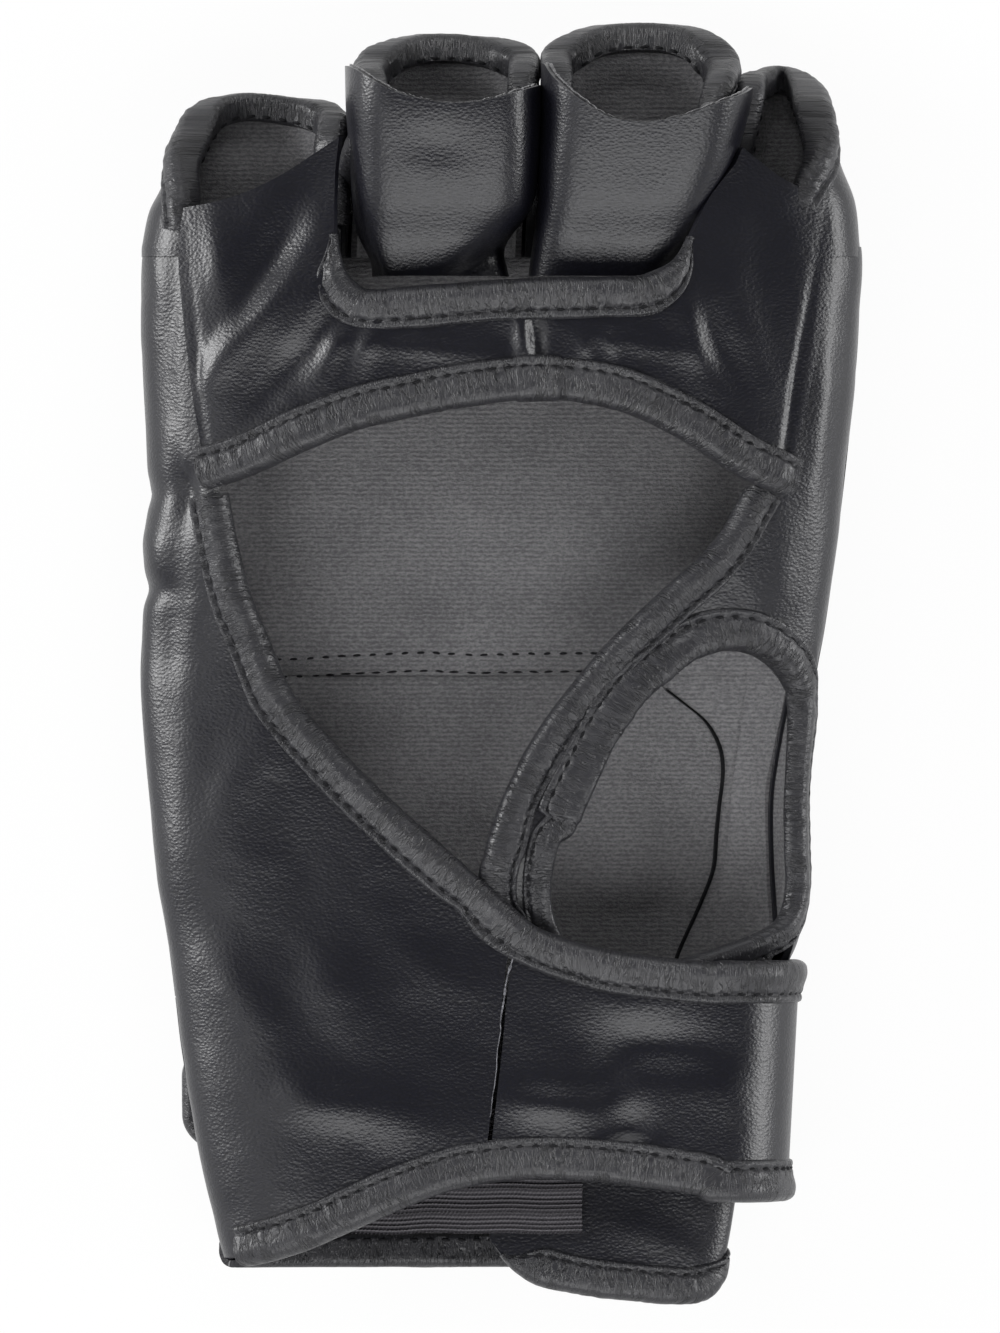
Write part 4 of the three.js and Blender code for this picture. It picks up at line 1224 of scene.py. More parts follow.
    def lapped(self, low: float, high: float, height: float = 0.3) -> "Tape":
        """The tape with a second layer between two columns of the photograph's frame."""
        across = FORM.x_px(self.outer[:, self.cut.points // 2, 0])
        lap = smoothstep(across, low - 1.5, low + 1.5) * (1 - smoothstep(across, high - 1.5, high + 1.5))
        return Tape(self.cut, self.outer + self.normals() * (height * lap)[:, None, None], self.inner)

    def slice(self, start: int, end: int) -> "Tape":
        """Rings from start to end, both included."""
        run, _ = self.places()
        return Tape(self.cut, self.outer[start : end + 1], self.inner[start : end + 1], float(run[start]))

    def mesh(self, name: str) -> bpy.types.Object:
        """The tape as a closed mesh with its own map."""
        run, across = self.places()
        uv = np.stack(np.meshgrid(run, across, indexing="ij"), axis=-1)
        skin = Skin(self.outer, self.inner, uv)
        return make_mesh(name, skin.points(), skin.quads(), skin.map())

    def stitch_line(self) -> tuple[Array, Array]:
        """Places in the stitched groove and the normals there."""
        chain, _ = self.cut.chains()
        k = int(np.argmin(np.abs(chain[: self.cut.points - 12, 0] - self.cut.stitch)))
        return self.outer[:, k], self.normals()[:, k]

    def stitches(self, name: str, start: float = 1.2, end: float = 1.2) -> bpy.types.Object:
        """Stitches in the tape's groove, as one mesh."""
        line, normal = self.stitch_line()
        run, _ = self.places()
        first = math.ceil((self.offset + start) / STITCH_PITCH - 0.5)
        last = math.floor((self.offset + run[-1] - end) / STITCH_PITCH - 0.5)
        centre = ((np.arange(first, last + 1) + 0.5) * STITCH_PITCH - self.offset) / run[-1]
        return stitch_mesh(name, line, normal, centre)

    def under_stitches(self, name: str) -> bpy.types.Object:
        """Stitches on the tape's underside."""
        chain, _ = self.cut.chains()
        under = self.cut.points
        k = int(np.argmin(np.abs(chain[under:, 0] - self.cut.stitch))) + under
        return stitch_mesh(name, self.outer[:, k], self.normals()[:, k])


STITCH_PITCH = 2.6


def stitch_mesh(
    name: str, line: Array, normal: Array, centre: Array | None = None,
    length: float = 2.0, radius: float = 0.27, seed: int = 5,
) -> bpy.types.Object:
    """Row of stitches along a line.

    Each stitch is a spindle: its radius is the root of 1 less the square of the share from its
    middle, and its ends dip into the leather by a parabola.

    Args:
        name: the piece's name.
        line: places along the row.
        normal: the outward direction at each.
        centre: share of the way along at each stitch, or none for an even row.
        length: length of one stitch.
        radius: half its thickness.
        seed: seed of the small irregularities.

    Returns:
        The row as one mesh.
    """
    run = np.concatenate([[0], np.cumsum(np.linalg.norm(np.diff(line, axis=0), axis=1))])
    if centre is None:
        even = max(int(run[-1] / STITCH_PITCH) - 1, 1)
        centre = (np.arange(even) + 1) / (even + 1)
    count = len(centre)
    rng = np.random.default_rng(seed + len(line))
    centre = centre * run[-1] + rng.uniform(-0.12, 0.12, count)
    # The line runs straight on past both ends, so that a stitch there keeps a direction
    before, beyond = line[0] - line[1], line[-1] - line[-2]
    before, beyond = before * length / np.linalg.norm(before), beyond * length / np.linalg.norm(beyond)
    line = np.concatenate([[line[0] + before], line, [line[-1] + beyond]])
    normal = np.concatenate([normal[:1], normal, normal[-1:]])
    run = np.concatenate([[-length], run, [run[-1] + length]])
    rings, sides = 7, 6
    share = np.linspace(-0.97, 0.97, rings)
    at = centre[:, None] + share[None, :] * length / 2 * rng.uniform(0.88, 1.05, (count, 1))
    place = np.stack([np.interp(at, run, line[:, k]) for k in range(3)], axis=-1)
    up = np.stack([np.interp(at, run, normal[:, k]) for k in range(3)], axis=-1)
    tangent = np.gradient(place, axis=1)
    tangent /= np.linalg.norm(tangent, axis=-1, keepdims=True)
    sidewise = np.cross(up, tangent)
    sidewise /= np.linalg.norm(sidewise, axis=-1, keepdims=True)
    skew = rng.uniform(-0.12, 0.12, (count, 1)) * share[None, :]
    place = place + up * (0.1 - 0.38 * share[None, :, None] ** 2) + sidewise * skew[..., None]
    turn = np.linspace(0, 2 * math.pi, sides, endpoint=False)
    size = radius * np.sqrt(1 - share**2)
    spoke = (
        up[:, :, None] * np.sin(turn)[None, None, :, None] * 0.8
        + sidewise[:, :, None] * np.cos(turn)[None, None, :, None]
    )
    points = place[:, :, None] + spoke * size[None, :, None, None]
    index = np.arange(count * rings * sides).reshape(count, rings, sides)
    after = np.roll(index, -1, axis=2)
    walls = np.stack([index[:, :-1], after[:, :-1], after[:, 1:], index[:, 1:]], -1).reshape(-1, 4)
    first, last = index[:, 0], index[:, -1]
    caps = [first[:, [0, 3, 2, 1]], first[:, [0, 5, 4, 3]], last[:, [0, 1, 2, 3]], last[:, [0, 3, 4, 5]]]
    return make_mesh(name, points.reshape(-1, 3), np.concatenate([walls, *caps]), None)


# Layers of the pads

LEATHER, LINING, GAP, WIDE_GAP, FOAM_EDGE, FOAM_ROOM = 1.2, 1.0, 0.3, 0.6, 0.4, 1.15
LINING_DEPTH = LEATHER + WIDE_GAP + FOAM_EDGE + FOAM_ROOM
SEAM_ANGLE = 0.01


def bell(share: Array) -> Array:
    """Half a sine wave, 0 at both ends."""
    return np.sin(math.pi * np.clip(share, 0, 1))


def lining_relief() -> Relief:
    """Slow waves of the linings, the groove of the seam across them and the pads' dents."""
    waves = relief_of((
        Ridge(330, 600, 8, 120, 26, 0.35), Ridge(560, 560, -6, 160, 30, 0.3),
        Ridge(470, 500, 80, 60, 24, -0.25),
        Ridge(500, 800, 15, 160, 40, 0.3), Ridge(430, 720, -20, 90, 20, 0.25),
    ), 0.12, 31)

    def relief(x: Array, y: Array) -> Array:
        """Waves of the lining less a groove along each seam.

        Args:
            x: place across, in millimetres.
            y: place along, in millimetres.

        Returns:
            The height in millimetres.
        """
        row = FORM.y_px(y) - seam_bow(FORM.x_px(x))
        groove = 0.75 * np.exp(-(((row - 665) / 4.5) ** 2)) + 0.35 * np.exp(-(((row - 656) / 3) ** 2))
        return waves(x, y) - groove - 0.35 * np.exp(-(((row - 674) / 3) ** 2))

    return lambda x, y: -relief(x, y)


def seam_bow(x_px: Array) -> Array:
    """How far the seam across the linings bows from a straight row."""
    return 1.5 * ripple(x_px / 60, 653) + 5 * ((x_px - 520) / 230) ** 2 - 3


SIDE_DENTS = (
    Ridge(146, 493, 0, 22, 15, -0.8), Ridge(146, 589, 0, 22, 13, -0.8),
    Ridge(146, 542, 0, 20, 16, 0.4),
)


@dataclass
class KnucklePad:
    """Thick pad over the back of the knuckles, with the lining that the palm opening shows."""

    foam_height: float = 12.0
    columns: int = 150
    rows: int = 110

    def build(self) -> None:
        """Makes the cover, the foam and the lining."""
        o = FORM.outline
        u, v = np.linspace(0, 1, self.columns)[:, None], np.linspace(0, 1, self.rows)[None, :]
        angle = lerp(math.pi + SEAM_ANGLE, 2 * math.pi - SEAM_ANGLE, u) + 0 * v
        y_px = lerp(o.crease - 8, o.knuckle_end + 2.5, v) + 0 * u
        foam = self.foam_height * bell(u) ** 0.42 * bell(v) ** 0.6
        cover = sheet_on("knuckle_cover_leather", FORM.hand, angle, y_px, 0.0, LEATHER, relief_of(SIDE_DENTS))
        settle(cover, Finish.LEATHER, BENDING, ["knuckle_cover"])
        a, b = angle[8:-8, 8:-8], y_px[8:-8, 8:-8]
        core = sheet_on("knuckle_foam_pad", FORM.hand, a, b, LEATHER + WIDE_GAP,
                        LEATHER + WIDE_GAP + FOAM_EDGE + foam[8:-8, 8:-8])
        settle(core, Finish.FOAM, BENDING, ["knuckle_foam"])
        depth = LINING_DEPTH + foam
        lining = sheet_on(
            "knuckle_lining_knit", FORM.hand, angle, y_px, depth + LINING, depth, lining_relief(),
        )
        settle(lining, Finish.LINING, BENDING, ["knuckle_lining"])


@dataclass
class BackPad:
    """Thinner pad over the back of the hand, which ends short of the thumb side."""

    foam_height: float = 7.0
    split: float = 12 / 17
    columns: int = 150
    rows: int = 90

    def thumb_wrap(self, y_px: Array) -> Array:
        """How far the cover comes round the thumb side."""
        right = np.array(((794, 915), (799, 880), (797, 840), (797, 808), (799, 765), (802, 712)), float)
        table = right[::-1, ::-1]
        along = np.clip(y_px, 712, 915)
        o = FORM.outline
        fade_in = np.clip((y_px - o.back_start) / (712 - o.back_start), 0, 1)
        fade_out = np.clip((o.back_end - y_px) / (o.back_end - 915), 0, 1)
        return FORM.palm_angle(smooth(table, 1, along), along) * fade_in * fade_out

    def angle(self, u: Array, y_px: Array) -> Array:
        """Angle round the back: a share up to the pad's edge, then on to the thumb side."""
        table = [(y, x) for x, y in FORM.outline.pad_edge]
        edge = 2 * math.pi - FORM.palm_angle(smooth(table, 1, y_px), y_px)
        start = math.pi + SEAM_ANGLE
        end = 2 * math.pi - SEAM_ANGLE + self.thumb_wrap(y_px)
        inside = lerp(start, edge, np.minimum(u / self.split, 1))
        return np.where(u <= self.split, inside, lerp(edge, end, (u - self.split) / (1 - self.split)))

    def build(self) -> None:
        """Makes the cover, the foam, the pad's lining and the thin lining beside it."""
        o = FORM.outline
        u, v = np.linspace(0, 1, self.columns)[:, None], np.linspace(0, 1, self.rows)[None, :]
        y_px = lerp(o.back_start - 2.5, o.back_end + 2.5, v) + 0 * u
        cover = sheet_on("back_cover_leather", FORM.hand, self.angle(u + 0 * v, y_px), y_px, 0.0, LEATHER,
                         relief_of(SIDE_DENTS))
        settle(cover, Finish.LEATHER, [Body.HAND], ["back_cover"])
        pad_u = u * self.split
        angle = self.angle(pad_u + 0 * v, y_px)
        foam = self.foam_height * bell(u) ** 0.75 * bell(v)
        core = sheet_on("back_foam_pad", FORM.hand, angle[8:-8, 8:-8], y_px[8:-8, 8:-8], LEATHER + WIDE_GAP,
                        LEATHER + WIDE_GAP + FOAM_EDGE + 0.85 * foam[8:-8, 8:-8])
        settle(core, Finish.FOAM, [Body.HAND], ["back_foam"])
        depth = LINING_DEPTH + foam
        lining = sheet_on("back_lining_knit", FORM.hand, angle, y_px, depth + LINING, depth, lining_relief())
        settle(lining, Finish.LINING, [Body.HAND], ["back_lining"])
        # A thin strip in the black thread finish along the pad's edge: a painted shadow line where the pad's
        # edge casts shade, not a sewn part.
        rows = np.linspace(690, 965, 120)
        table = [(y, x) for x, y in o.pad_edge]
        rim = 2 * math.pi - FORM.palm_angle(smooth(table, 1, rows), rows)
        a, b = between(np.stack([rim - 0.003, rows], 1), np.stack([rim + 0.005, rows], 1), 4)
        cord = sheet_on("back_pad_edge_painted_shadow", FORM.hand, a, b, LINING_DEPTH + LINING + 0.1, LINING_DEPTH)
        settle(cord, Finish.THREAD, [Body.HAND])
        side_u = lerp(self.split - 0.05 / 17, 16 / 17, u)
        side_angle = self.angle(side_u + 0 * v, y_px)
        thin = LEATHER + 1.6
        side = sheet_on("thumb_lining_knit", FORM.hand, side_angle, y_px, thin + LINING, thin)
        settle(side, Finish.LINING, [Body.HAND], ["thumb_lining"])
        self.allowance(thin + LINING)
        self.seams()

    def allowance(self, depth: float) -> None:
        """Turned-in edge of the lining beside the thumb hole, and the thin cut leather next to it."""
        lines = [trace(points, 120) for points in FORM.outline.allowance]
        places = []
        for line in lines:
            middle, half = FORM.edges(FORM.outline.hand, line[:, 1])
            share = np.clip((FORM.x(line[:, 0]) - middle) / (half - depth), -1, 1)
            places.append(np.stack([2 * math.pi - np.arccos(FORM.flatter(share)), line[:, 1]], 1))
        a, b = between(places[0], places[1], 26)
        fuzz = relief_of((), 0.35, 63)
        strip = sheet_on(
            "thumb_seam_allowance", FORM.hand, a, b, depth + 1.0, depth + 0.1,
            lambda x, y: -fuzz(x, y),
        )
        settle(strip, Finish.LINING, [Body.HAND])
        a, b = between(places[1], places[2], 6)
        edge = sheet_on("thumb_seam_leather", FORM.hand, a, b, depth + 0.6, depth + 0.1)
        settle(edge, Finish.LEATHER, [Body.HAND])

    def seams(self) -> None:
        """Sews the two linings together with a double row and a single row."""
        o = FORM.outline
        relief = lining_relief()
        rows = (("lining_seam_upper", 656, 262, 690), ("lining_seam_lower", 674, 268, 690))
        for name, row, left, right in rows:
            x_px = np.linspace(left, right, 190)
            y_px = row + seam_bow(x_px)
            middle, half = FORM.edges(o.hand, y_px)
            knuckle = (y_px - o.crease + 8) / (o.knuckle_end - o.crease + 10.5)
            back = (y_px - o.back_start + 2.5) / (o.back_end - o.back_start + 5)
            depth = np.full_like(x_px, 8.0)
            for _ in range(12):
                share = np.clip((FORM.x(x_px) - middle) / (half - depth), -1, 1)
                angle = 2 * math.pi - np.arccos(FORM.flatter(share))
                across = bell((angle - math.pi) / math.pi) ** 0.42
                foam = KnucklePad.foam_height * across * bell(knuckle) ** 0.6
                foam = np.where(y_px < 675, foam, self.foam_height * 0.7 * bell(back))
                wave = relief(FORM.x(x_px), FORM.y(y_px))
                depth = 0.5 * depth + 0.5 * (LINING_DEPTH + LINING + foam - wave)
            line = FORM.hand(angle, y_px, depth)
            normal = FORM.hand(angle, y_px, depth + 1) - FORM.hand(angle, y_px, depth - 1)
            normal /= np.linalg.norm(normal, axis=1, keepdims=True)
            row_piece = stitch_mesh(name, line, normal, radius=0.24)
            settle(row_piece, Finish.THREAD, [Body.HAND])


@dataclass
class WristTape:
    """The one tape that runs down the palm opening, round the strap and back along the cuff."""

    wide: TapeCut = TapeCut(reach=5.7, seed=11, crinkle=0.19)

    def strap_path(self) -> tuple[Array, Array, Array]:
        """Upper, tail and lower stretches of the strap's edge, in the direction of the tape."""
        o = FORM.outline
        cut_share = 1.3
        edges = []
        for points, level in ((o.strap_top, o.fold_top[1]), (o.strap_bottom, o.fold_bottom[1])):
            palm = on_strap(trace(points, 120))
            palm = palm[palm[:, 0] < 0.97]
            turn = np.stack([np.linspace(1, cut_share, 20), np.full(20, float(level))], 1)
            edges.append(np.concatenate([palm, turn]))
        _, top_y, low_y, corner = o.tail
        halves = []
        for level, end in ((o.fold_top[1], top_y), (o.fold_bottom[1], low_y)):
            turn = np.stack([np.linspace(cut_share, 2, 40), np.full(40, float(level))], 1)
            t = np.linspace(0, 1, 90)[1:]
            long = np.stack([2 + 0.9 * t, lerp(level, end, smoothstep(t, 0, 1))], 1)
            way = np.sign((top_y + low_y) / 2 - end) * corner
            q = np.linspace(0, math.pi / 2, 24)[1:]
            bend = np.stack([2.9 + 0.1 * np.sin(q), end + way * (1 - np.cos(q))], 1)
            halves.append(np.concatenate([turn, long, bend]))
        return edges[0], np.concatenate([halves[0], halves[1][::-1]]), edges[1][::-1]

    def build(self) -> None:
        """Makes the five stretches from one run of rings, and hangs those with one body on it."""
        o = FORM.outline
        ulnar = on_palm(trace(o.ulnar, 300))
        cuff = on_palm(trace(o.cuff, 160))
        upper, tail, lower = self.strap_path()
        runs = [
            Tape.along(self.wide, FORM.hand, ulnar, -1, 0.0, LEATHER, relief=ulnar_relief()),
            Tape.along(self.wide, FORM.strap, upper, -1, 0.0, LEATHER),
            Tape.along(self.wide, FORM.strap, tail, -1, 0.0, LEATHER),
            Tape.along(self.wide, FORM.strap, lower, -1, 0.0, LEATHER),
            Tape.along(self.wide, FORM.hand, cuff, -1, 0.0, LEATHER, relief=ulnar_relief()),
        ]
        whole = runs[0]
        cuts = [0]
        for run in runs[1:]:
            cuts.append(len(whole.outer))
            whole = whole.joined(run)
        last = len(whole.outer) - 1
        cuts.append(last)
        k = np.arange(last + 1)
        calm = smoothstep(k, cuts[1] - 25, cuts[1] + 30) * (1 - smoothstep(k, cuts[4] - 6, cuts[4] + 20))
        whole = whole.creased(1.1 - 0.95 * calm)
        parts = (
            ("ulnar_binding", (Body.HAND,)), ("strap_upper_binding", (Body.HAND, Body.STRAP)),
            ("strap_tail_binding", (Body.STRAP, Body.STRAP_END)),
            ("strap_lower_binding", (Body.HAND, Body.STRAP)), ("cuff_binding", (Body.HAND,)),
        )
        for (node, bodies), start, end in zip(parts, cuts[:-1], cuts[1:]):
            stretch = whole.slice(start, end)
            settle(stretch.mesh(f"{node}_tape"), Finish.TAPE, bodies, [node])
            settle(stretch.stitches(f"{node}_stitches", 0.4, 0.4), Finish.THREAD, bodies)


def ulnar_relief() -> Relief:
    """Lumps and folds of the leather on the little finger's side, calm where the bridge covers it."""
    folds = relief_of((
        Ridge(158, 275, 84, 40, 12, 0.4), Ridge(168, 340, 96, 50, 12, -0.4),
        Ridge(184, 492, 92, 36, 13, -1.5), Ridge(160, 560, 92, 26, 12, 0.5),
        Ridge(170, 620, 94, 60, 16, -0.8),
        Ridge(180, 800, 96, 80, 22, 0.5), Ridge(250, 760, 118, 120, 30, 0.7),
        Ridge(300, 900, 100, 150, 34, -0.6),
        Ridge(250, 1010, 55, 70, 28, 0.9), Ridge(350, 1010, 60, 90, 30, 0.5),
        Ridge(350, 1105, 12, 80, 26, 1.1), Ridge(420, 960, 40, 60, 22, 0.4), *SIDE_DENTS,
    ), 0.2, 3)

    def relief(x: Array, y: Array) -> Array:
        """Folds, but none where the palm bridge lies on top.

        Args:
            x: place across, in millimetres.
            y: place along, in millimetres.

        Returns:
            The height in millimetres.
        """
        covered = smoothstep(FORM.x_px(x), 172, 186) * (1 - smoothstep(FORM.y_px(y), 450, 490))
        return folds(x, y) * (1 - covered)

    return relief


@dataclass
class UlnarSide:
    """Leather from the little finger's side to the palm opening and the strap, and its lining."""

    rows: int = 56

    def build(self) -> None:
        """Makes the panel and the lining behind it."""
        o = FORM.outline
        pieces = [trace(o.ulnar_hidden, 60), trace(o.ulnar, 170), trace(o.seam, 60), trace(o.cuff, 80)]
        edge = on_palm(np.concatenate(pieces))
        side = np.stack([np.full(len(edge), math.pi - SEAM_ANGLE), edge[:, 1]], 1)
        a, b = between(side, edge, self.rows)
        panel = sheet_on("ulnar_leather", FORM.hand, a, b, 0.0, LEATHER, ulnar_relief())
        settle(panel, Finish.LEATHER, BENDING, ["ulnar_panel"])
        inner = edge[30:290].copy()
        inner[:, 0] = lerp(inner[:, 0], math.pi, 0.3)
        start = np.stack([np.full(len(inner), math.pi - 3 * SEAM_ANGLE), inner[:, 1]], 1)
        a, b = between(start, inner, 24)
        depth = LEATHER + GAP
        lining = sheet_on("ulnar_lining_knit", FORM.hand, a, b, depth, depth + LINING, ulnar_relief())
        settle(lining, Finish.LINING, BENDING, ["ulnar_lining"])


@dataclass
class ThumbSide:
    """Leather between the palm opening and the thumb hole, with a tape along each."""

    thenar_cut: TapeCut = TapeCut(reach=4.8, roll=0.75, lip=1.3, seed=21, crinkle=0.09)
    hole_cut: TapeCut = TapeCut(reach=6.0, roll=0.8, lip=1.4, seed=27, crinkle=0.24, slack=0.2)

    @staticmethod
    def width(run: Array) -> Array:
        """Share of the hole tape's width: narrow by the side seam and after the lap at its left."""
        return 0.7 + 0.3 * smoothstep(run, 0.3, 0.5) * (1 - smoothstep(run, 0.835, 0.843))

    def build(self) -> None:
        """Makes the panel, the two tapes and their stitches."""
        o = FORM.outline
        hidden, thenar = trace(o.thenar_hidden, 70), trace(o.thenar, 200)
        edge = on_palm(np.concatenate([hidden, thenar]))
        thumb = on_palm(trace(o.thumb, 180))
        side_count = len(edge) - len(thumb)
        y_px = np.linspace(o.thenar_hidden[0][1], o.knuckle_end, side_count)
        side = np.stack([np.full(side_count, SEAM_ANGLE), y_px], 1)
        a, b = between(edge, np.concatenate([side, thumb]), 46)
        waves = relief_of((Ridge(820, 420, 95, 120, 12, 0.5), Ridge(806, 560, 100, 80, 14, -0.4)), 0.15, 9)

        def relief(x: Array, y: Array) -> Array:
            """Waves, with the two lower ends sunk below the strap's tape.

            Args:
                x: place across, in millimetres.
                y: place along, in millimetres.

            Returns:
                The height in millimetres.
            """
            across, down = FORM.x_px(x), FORM.y_px(y)
            left = smoothstep(down, 850, 925) * (1 - smoothstep(across, 640, 720))
            right = smoothstep(down, 922, 962) * smoothstep(across, 640, 720)
            return waves(x, y) - 3.6 * left - 3.4 * right

        panel = sheet_on("thumb_side_leather", FORM.hand, a, b, 0.0, LEATHER, relief)
        settle(panel, Finish.LEATHER, BENDING, ["thumb_side_panel"])
        path = on_palm(trace((o.thenar_hidden[-1], *o.thenar), 310))
        edge_tape = Tape.along(self.thenar_cut, FORM.hand, path, 1, 0.0, LEATHER, relief=relief,
                               narrow=lambda t: 1 + 0.22 * smoothstep(t, 0.72, 0.84)).creased()
        settle(edge_tape.mesh("thenar_binding_tape"), Finish.TAPE, [Body.HAND], ["thenar_binding"])
        settle(edge_tape.stitches("thenar_binding_stitches"), Finish.THREAD, [Body.HAND])
        hole = on_palm(np.concatenate([trace(o.thumb_right, 190), trace(o.thumb, 240)]))
        hole_tape = Tape.along(
            self.hole_cut, FORM.hand, hole, -1, 0.0, LEATHER, relief=relief, narrow=self.width,
        )
        run = np.linspace(0, 1, len(hole_tape.outer))
        left_side = 1.0 * smoothstep(run, 0.3, 0.42) * (1 - smoothstep(run, 0.7, 0.76))
        hole_tape = hole_tape.creased(0.6 + left_side)
        settle(hole_tape.mesh("thumb_hole_binding_tape"), Finish.TAPE, [Body.HAND], ["thumb_hole_binding"])
        settle(hole_tape.stitches("thumb_hole_binding_stitches"), Finish.THREAD, [Body.HAND])


def bridge_relief() -> Relief:
    """Folds of the leather across the palm below the fingers."""
    folds = relief_of((
        Ridge(245, 335, -50, 90, 20, 1.5), Ridge(290, 366, -50, 80, 18, -1.1),
        Ridge(220, 262, 80, 60, 18, 0.5),
        Ridge(268, 262, -62, 80, 22, -1.5), Ridge(315, 300, -62, 60, 18, 0.7),
        Ridge(194, 330, 84.9, 115, 5, -0.9), Ridge(806, 325, 99.4, 125, 5, -0.9),
        Ridge(522, 337, 84, 26, 8, 0.8), Ridge(537, 338, 84, 26, 8, -1.0),
        Ridge(505, 346, 100, 20, 12, -0.3), Ridge(584, 348, 96, 12, 7, 0.45), Ridge(610, 346, 76, 12, 7, 0.4),
        Ridge(420, 350, 5, 90, 12, 0.4), Ridge(640, 345, 12, 70, 12, 0.35), Ridge(370, 345, 110, 30, 12, 0.8),
        Ridge(335, 352, 118, 30, 12, 0.6), Ridge(690, 326, 78, 50, 18, 0.9),
        Ridge(722, 350, 60, 60, 18, -0.7),
        Ridge(770, 300, 80, 90, 22, -0.5),
    ), 0.18, 15)

    def relief(x: Array, y: Array) -> Array:
        """Folds, weaker towards the two sides.

        Args:
            x: place across, in millimetres.
            y: place along, in millimetres.

        Returns:
            The height in millimetres.
        """
        across = FORM.x_px(x)
        inner = smoothstep(across, 186, 222) * (1 - smoothstep(across, 782, 818))
        return folds(x, y) * (0.15 + 0.85 * inner)

    return relief


@dataclass
class PalmBridge:
    """Leather across the palm below the fingers, notched for the two middle tubes."""

    arc_cut: TapeCut = TapeCut(reach=5.7, seed=41, crinkle=0.22)
    notch_cut: TapeCut = TapeCut(reach=5.4, seed=47, crinkle=0.24)

    def build(self) -> None:
        """Makes the panel, the arc's tape and the notch's tape."""
        o = FORM.outline
        lift = FORM.bridge_lift
        arc = on_palm(trace(o.arc, 260), lift)
        notch = on_palm(trace(o.notch, 180), lift)
        sides = [on_palm(trace(line, 40), lift) for line in (o.pinky_front, o.index_front)]
        a, b = between(arc, np.concatenate([sides[0], notch, sides[1]]), 70)
        relief = bridge_relief()
        panel = sheet_on("palm_bridge_leather", FORM.hand, a, b, -lift, LEATHER - lift, relief)
        settle(panel, Finish.LEATHER, BENDING, ["palm_bridge"])
        arc_tape = Tape.along(self.arc_cut, FORM.hand, arc, 1, -lift, LEATHER - lift, relief=relief)
        across = FORM.x_px(arc_tape.outer[:, 0, 0])
        arc_tape = arc_tape.creased(1.6 - 1.5 * np.exp(-(((across - 538) / 20) ** 6))).lapped(517, 560)
        settle(arc_tape.mesh("arc_binding_tape"), Finish.TAPE, BENDING, ["arc_binding"])
        settle(arc_tape.stitches("arc_binding_stitches"), Finish.THREAD, BENDING)
        path = notch[19:-27]
        notch_tape = Tape.along(self.notch_cut, FORM.hand, path, -1, -lift, LEATHER - lift, relief=relief,
                                narrow=lambda t: 0.15 + 0.85 * smoothstep(np.minimum(t, 1 - t), 0.0, 0.15))
        run = np.linspace(0, 1, len(notch_tape.outer))
        notch_tape = notch_tape.creased(0.5 + 1.3 * smoothstep(np.abs(run - 0.47), 0.16, 0.3))
        settle(notch_tape.mesh("notch_binding_tape"), Finish.TAPE, BENDING, ["notch_binding"])
        settle(notch_tape.stitches("notch_binding_stitches"), Finish.THREAD, BENDING)


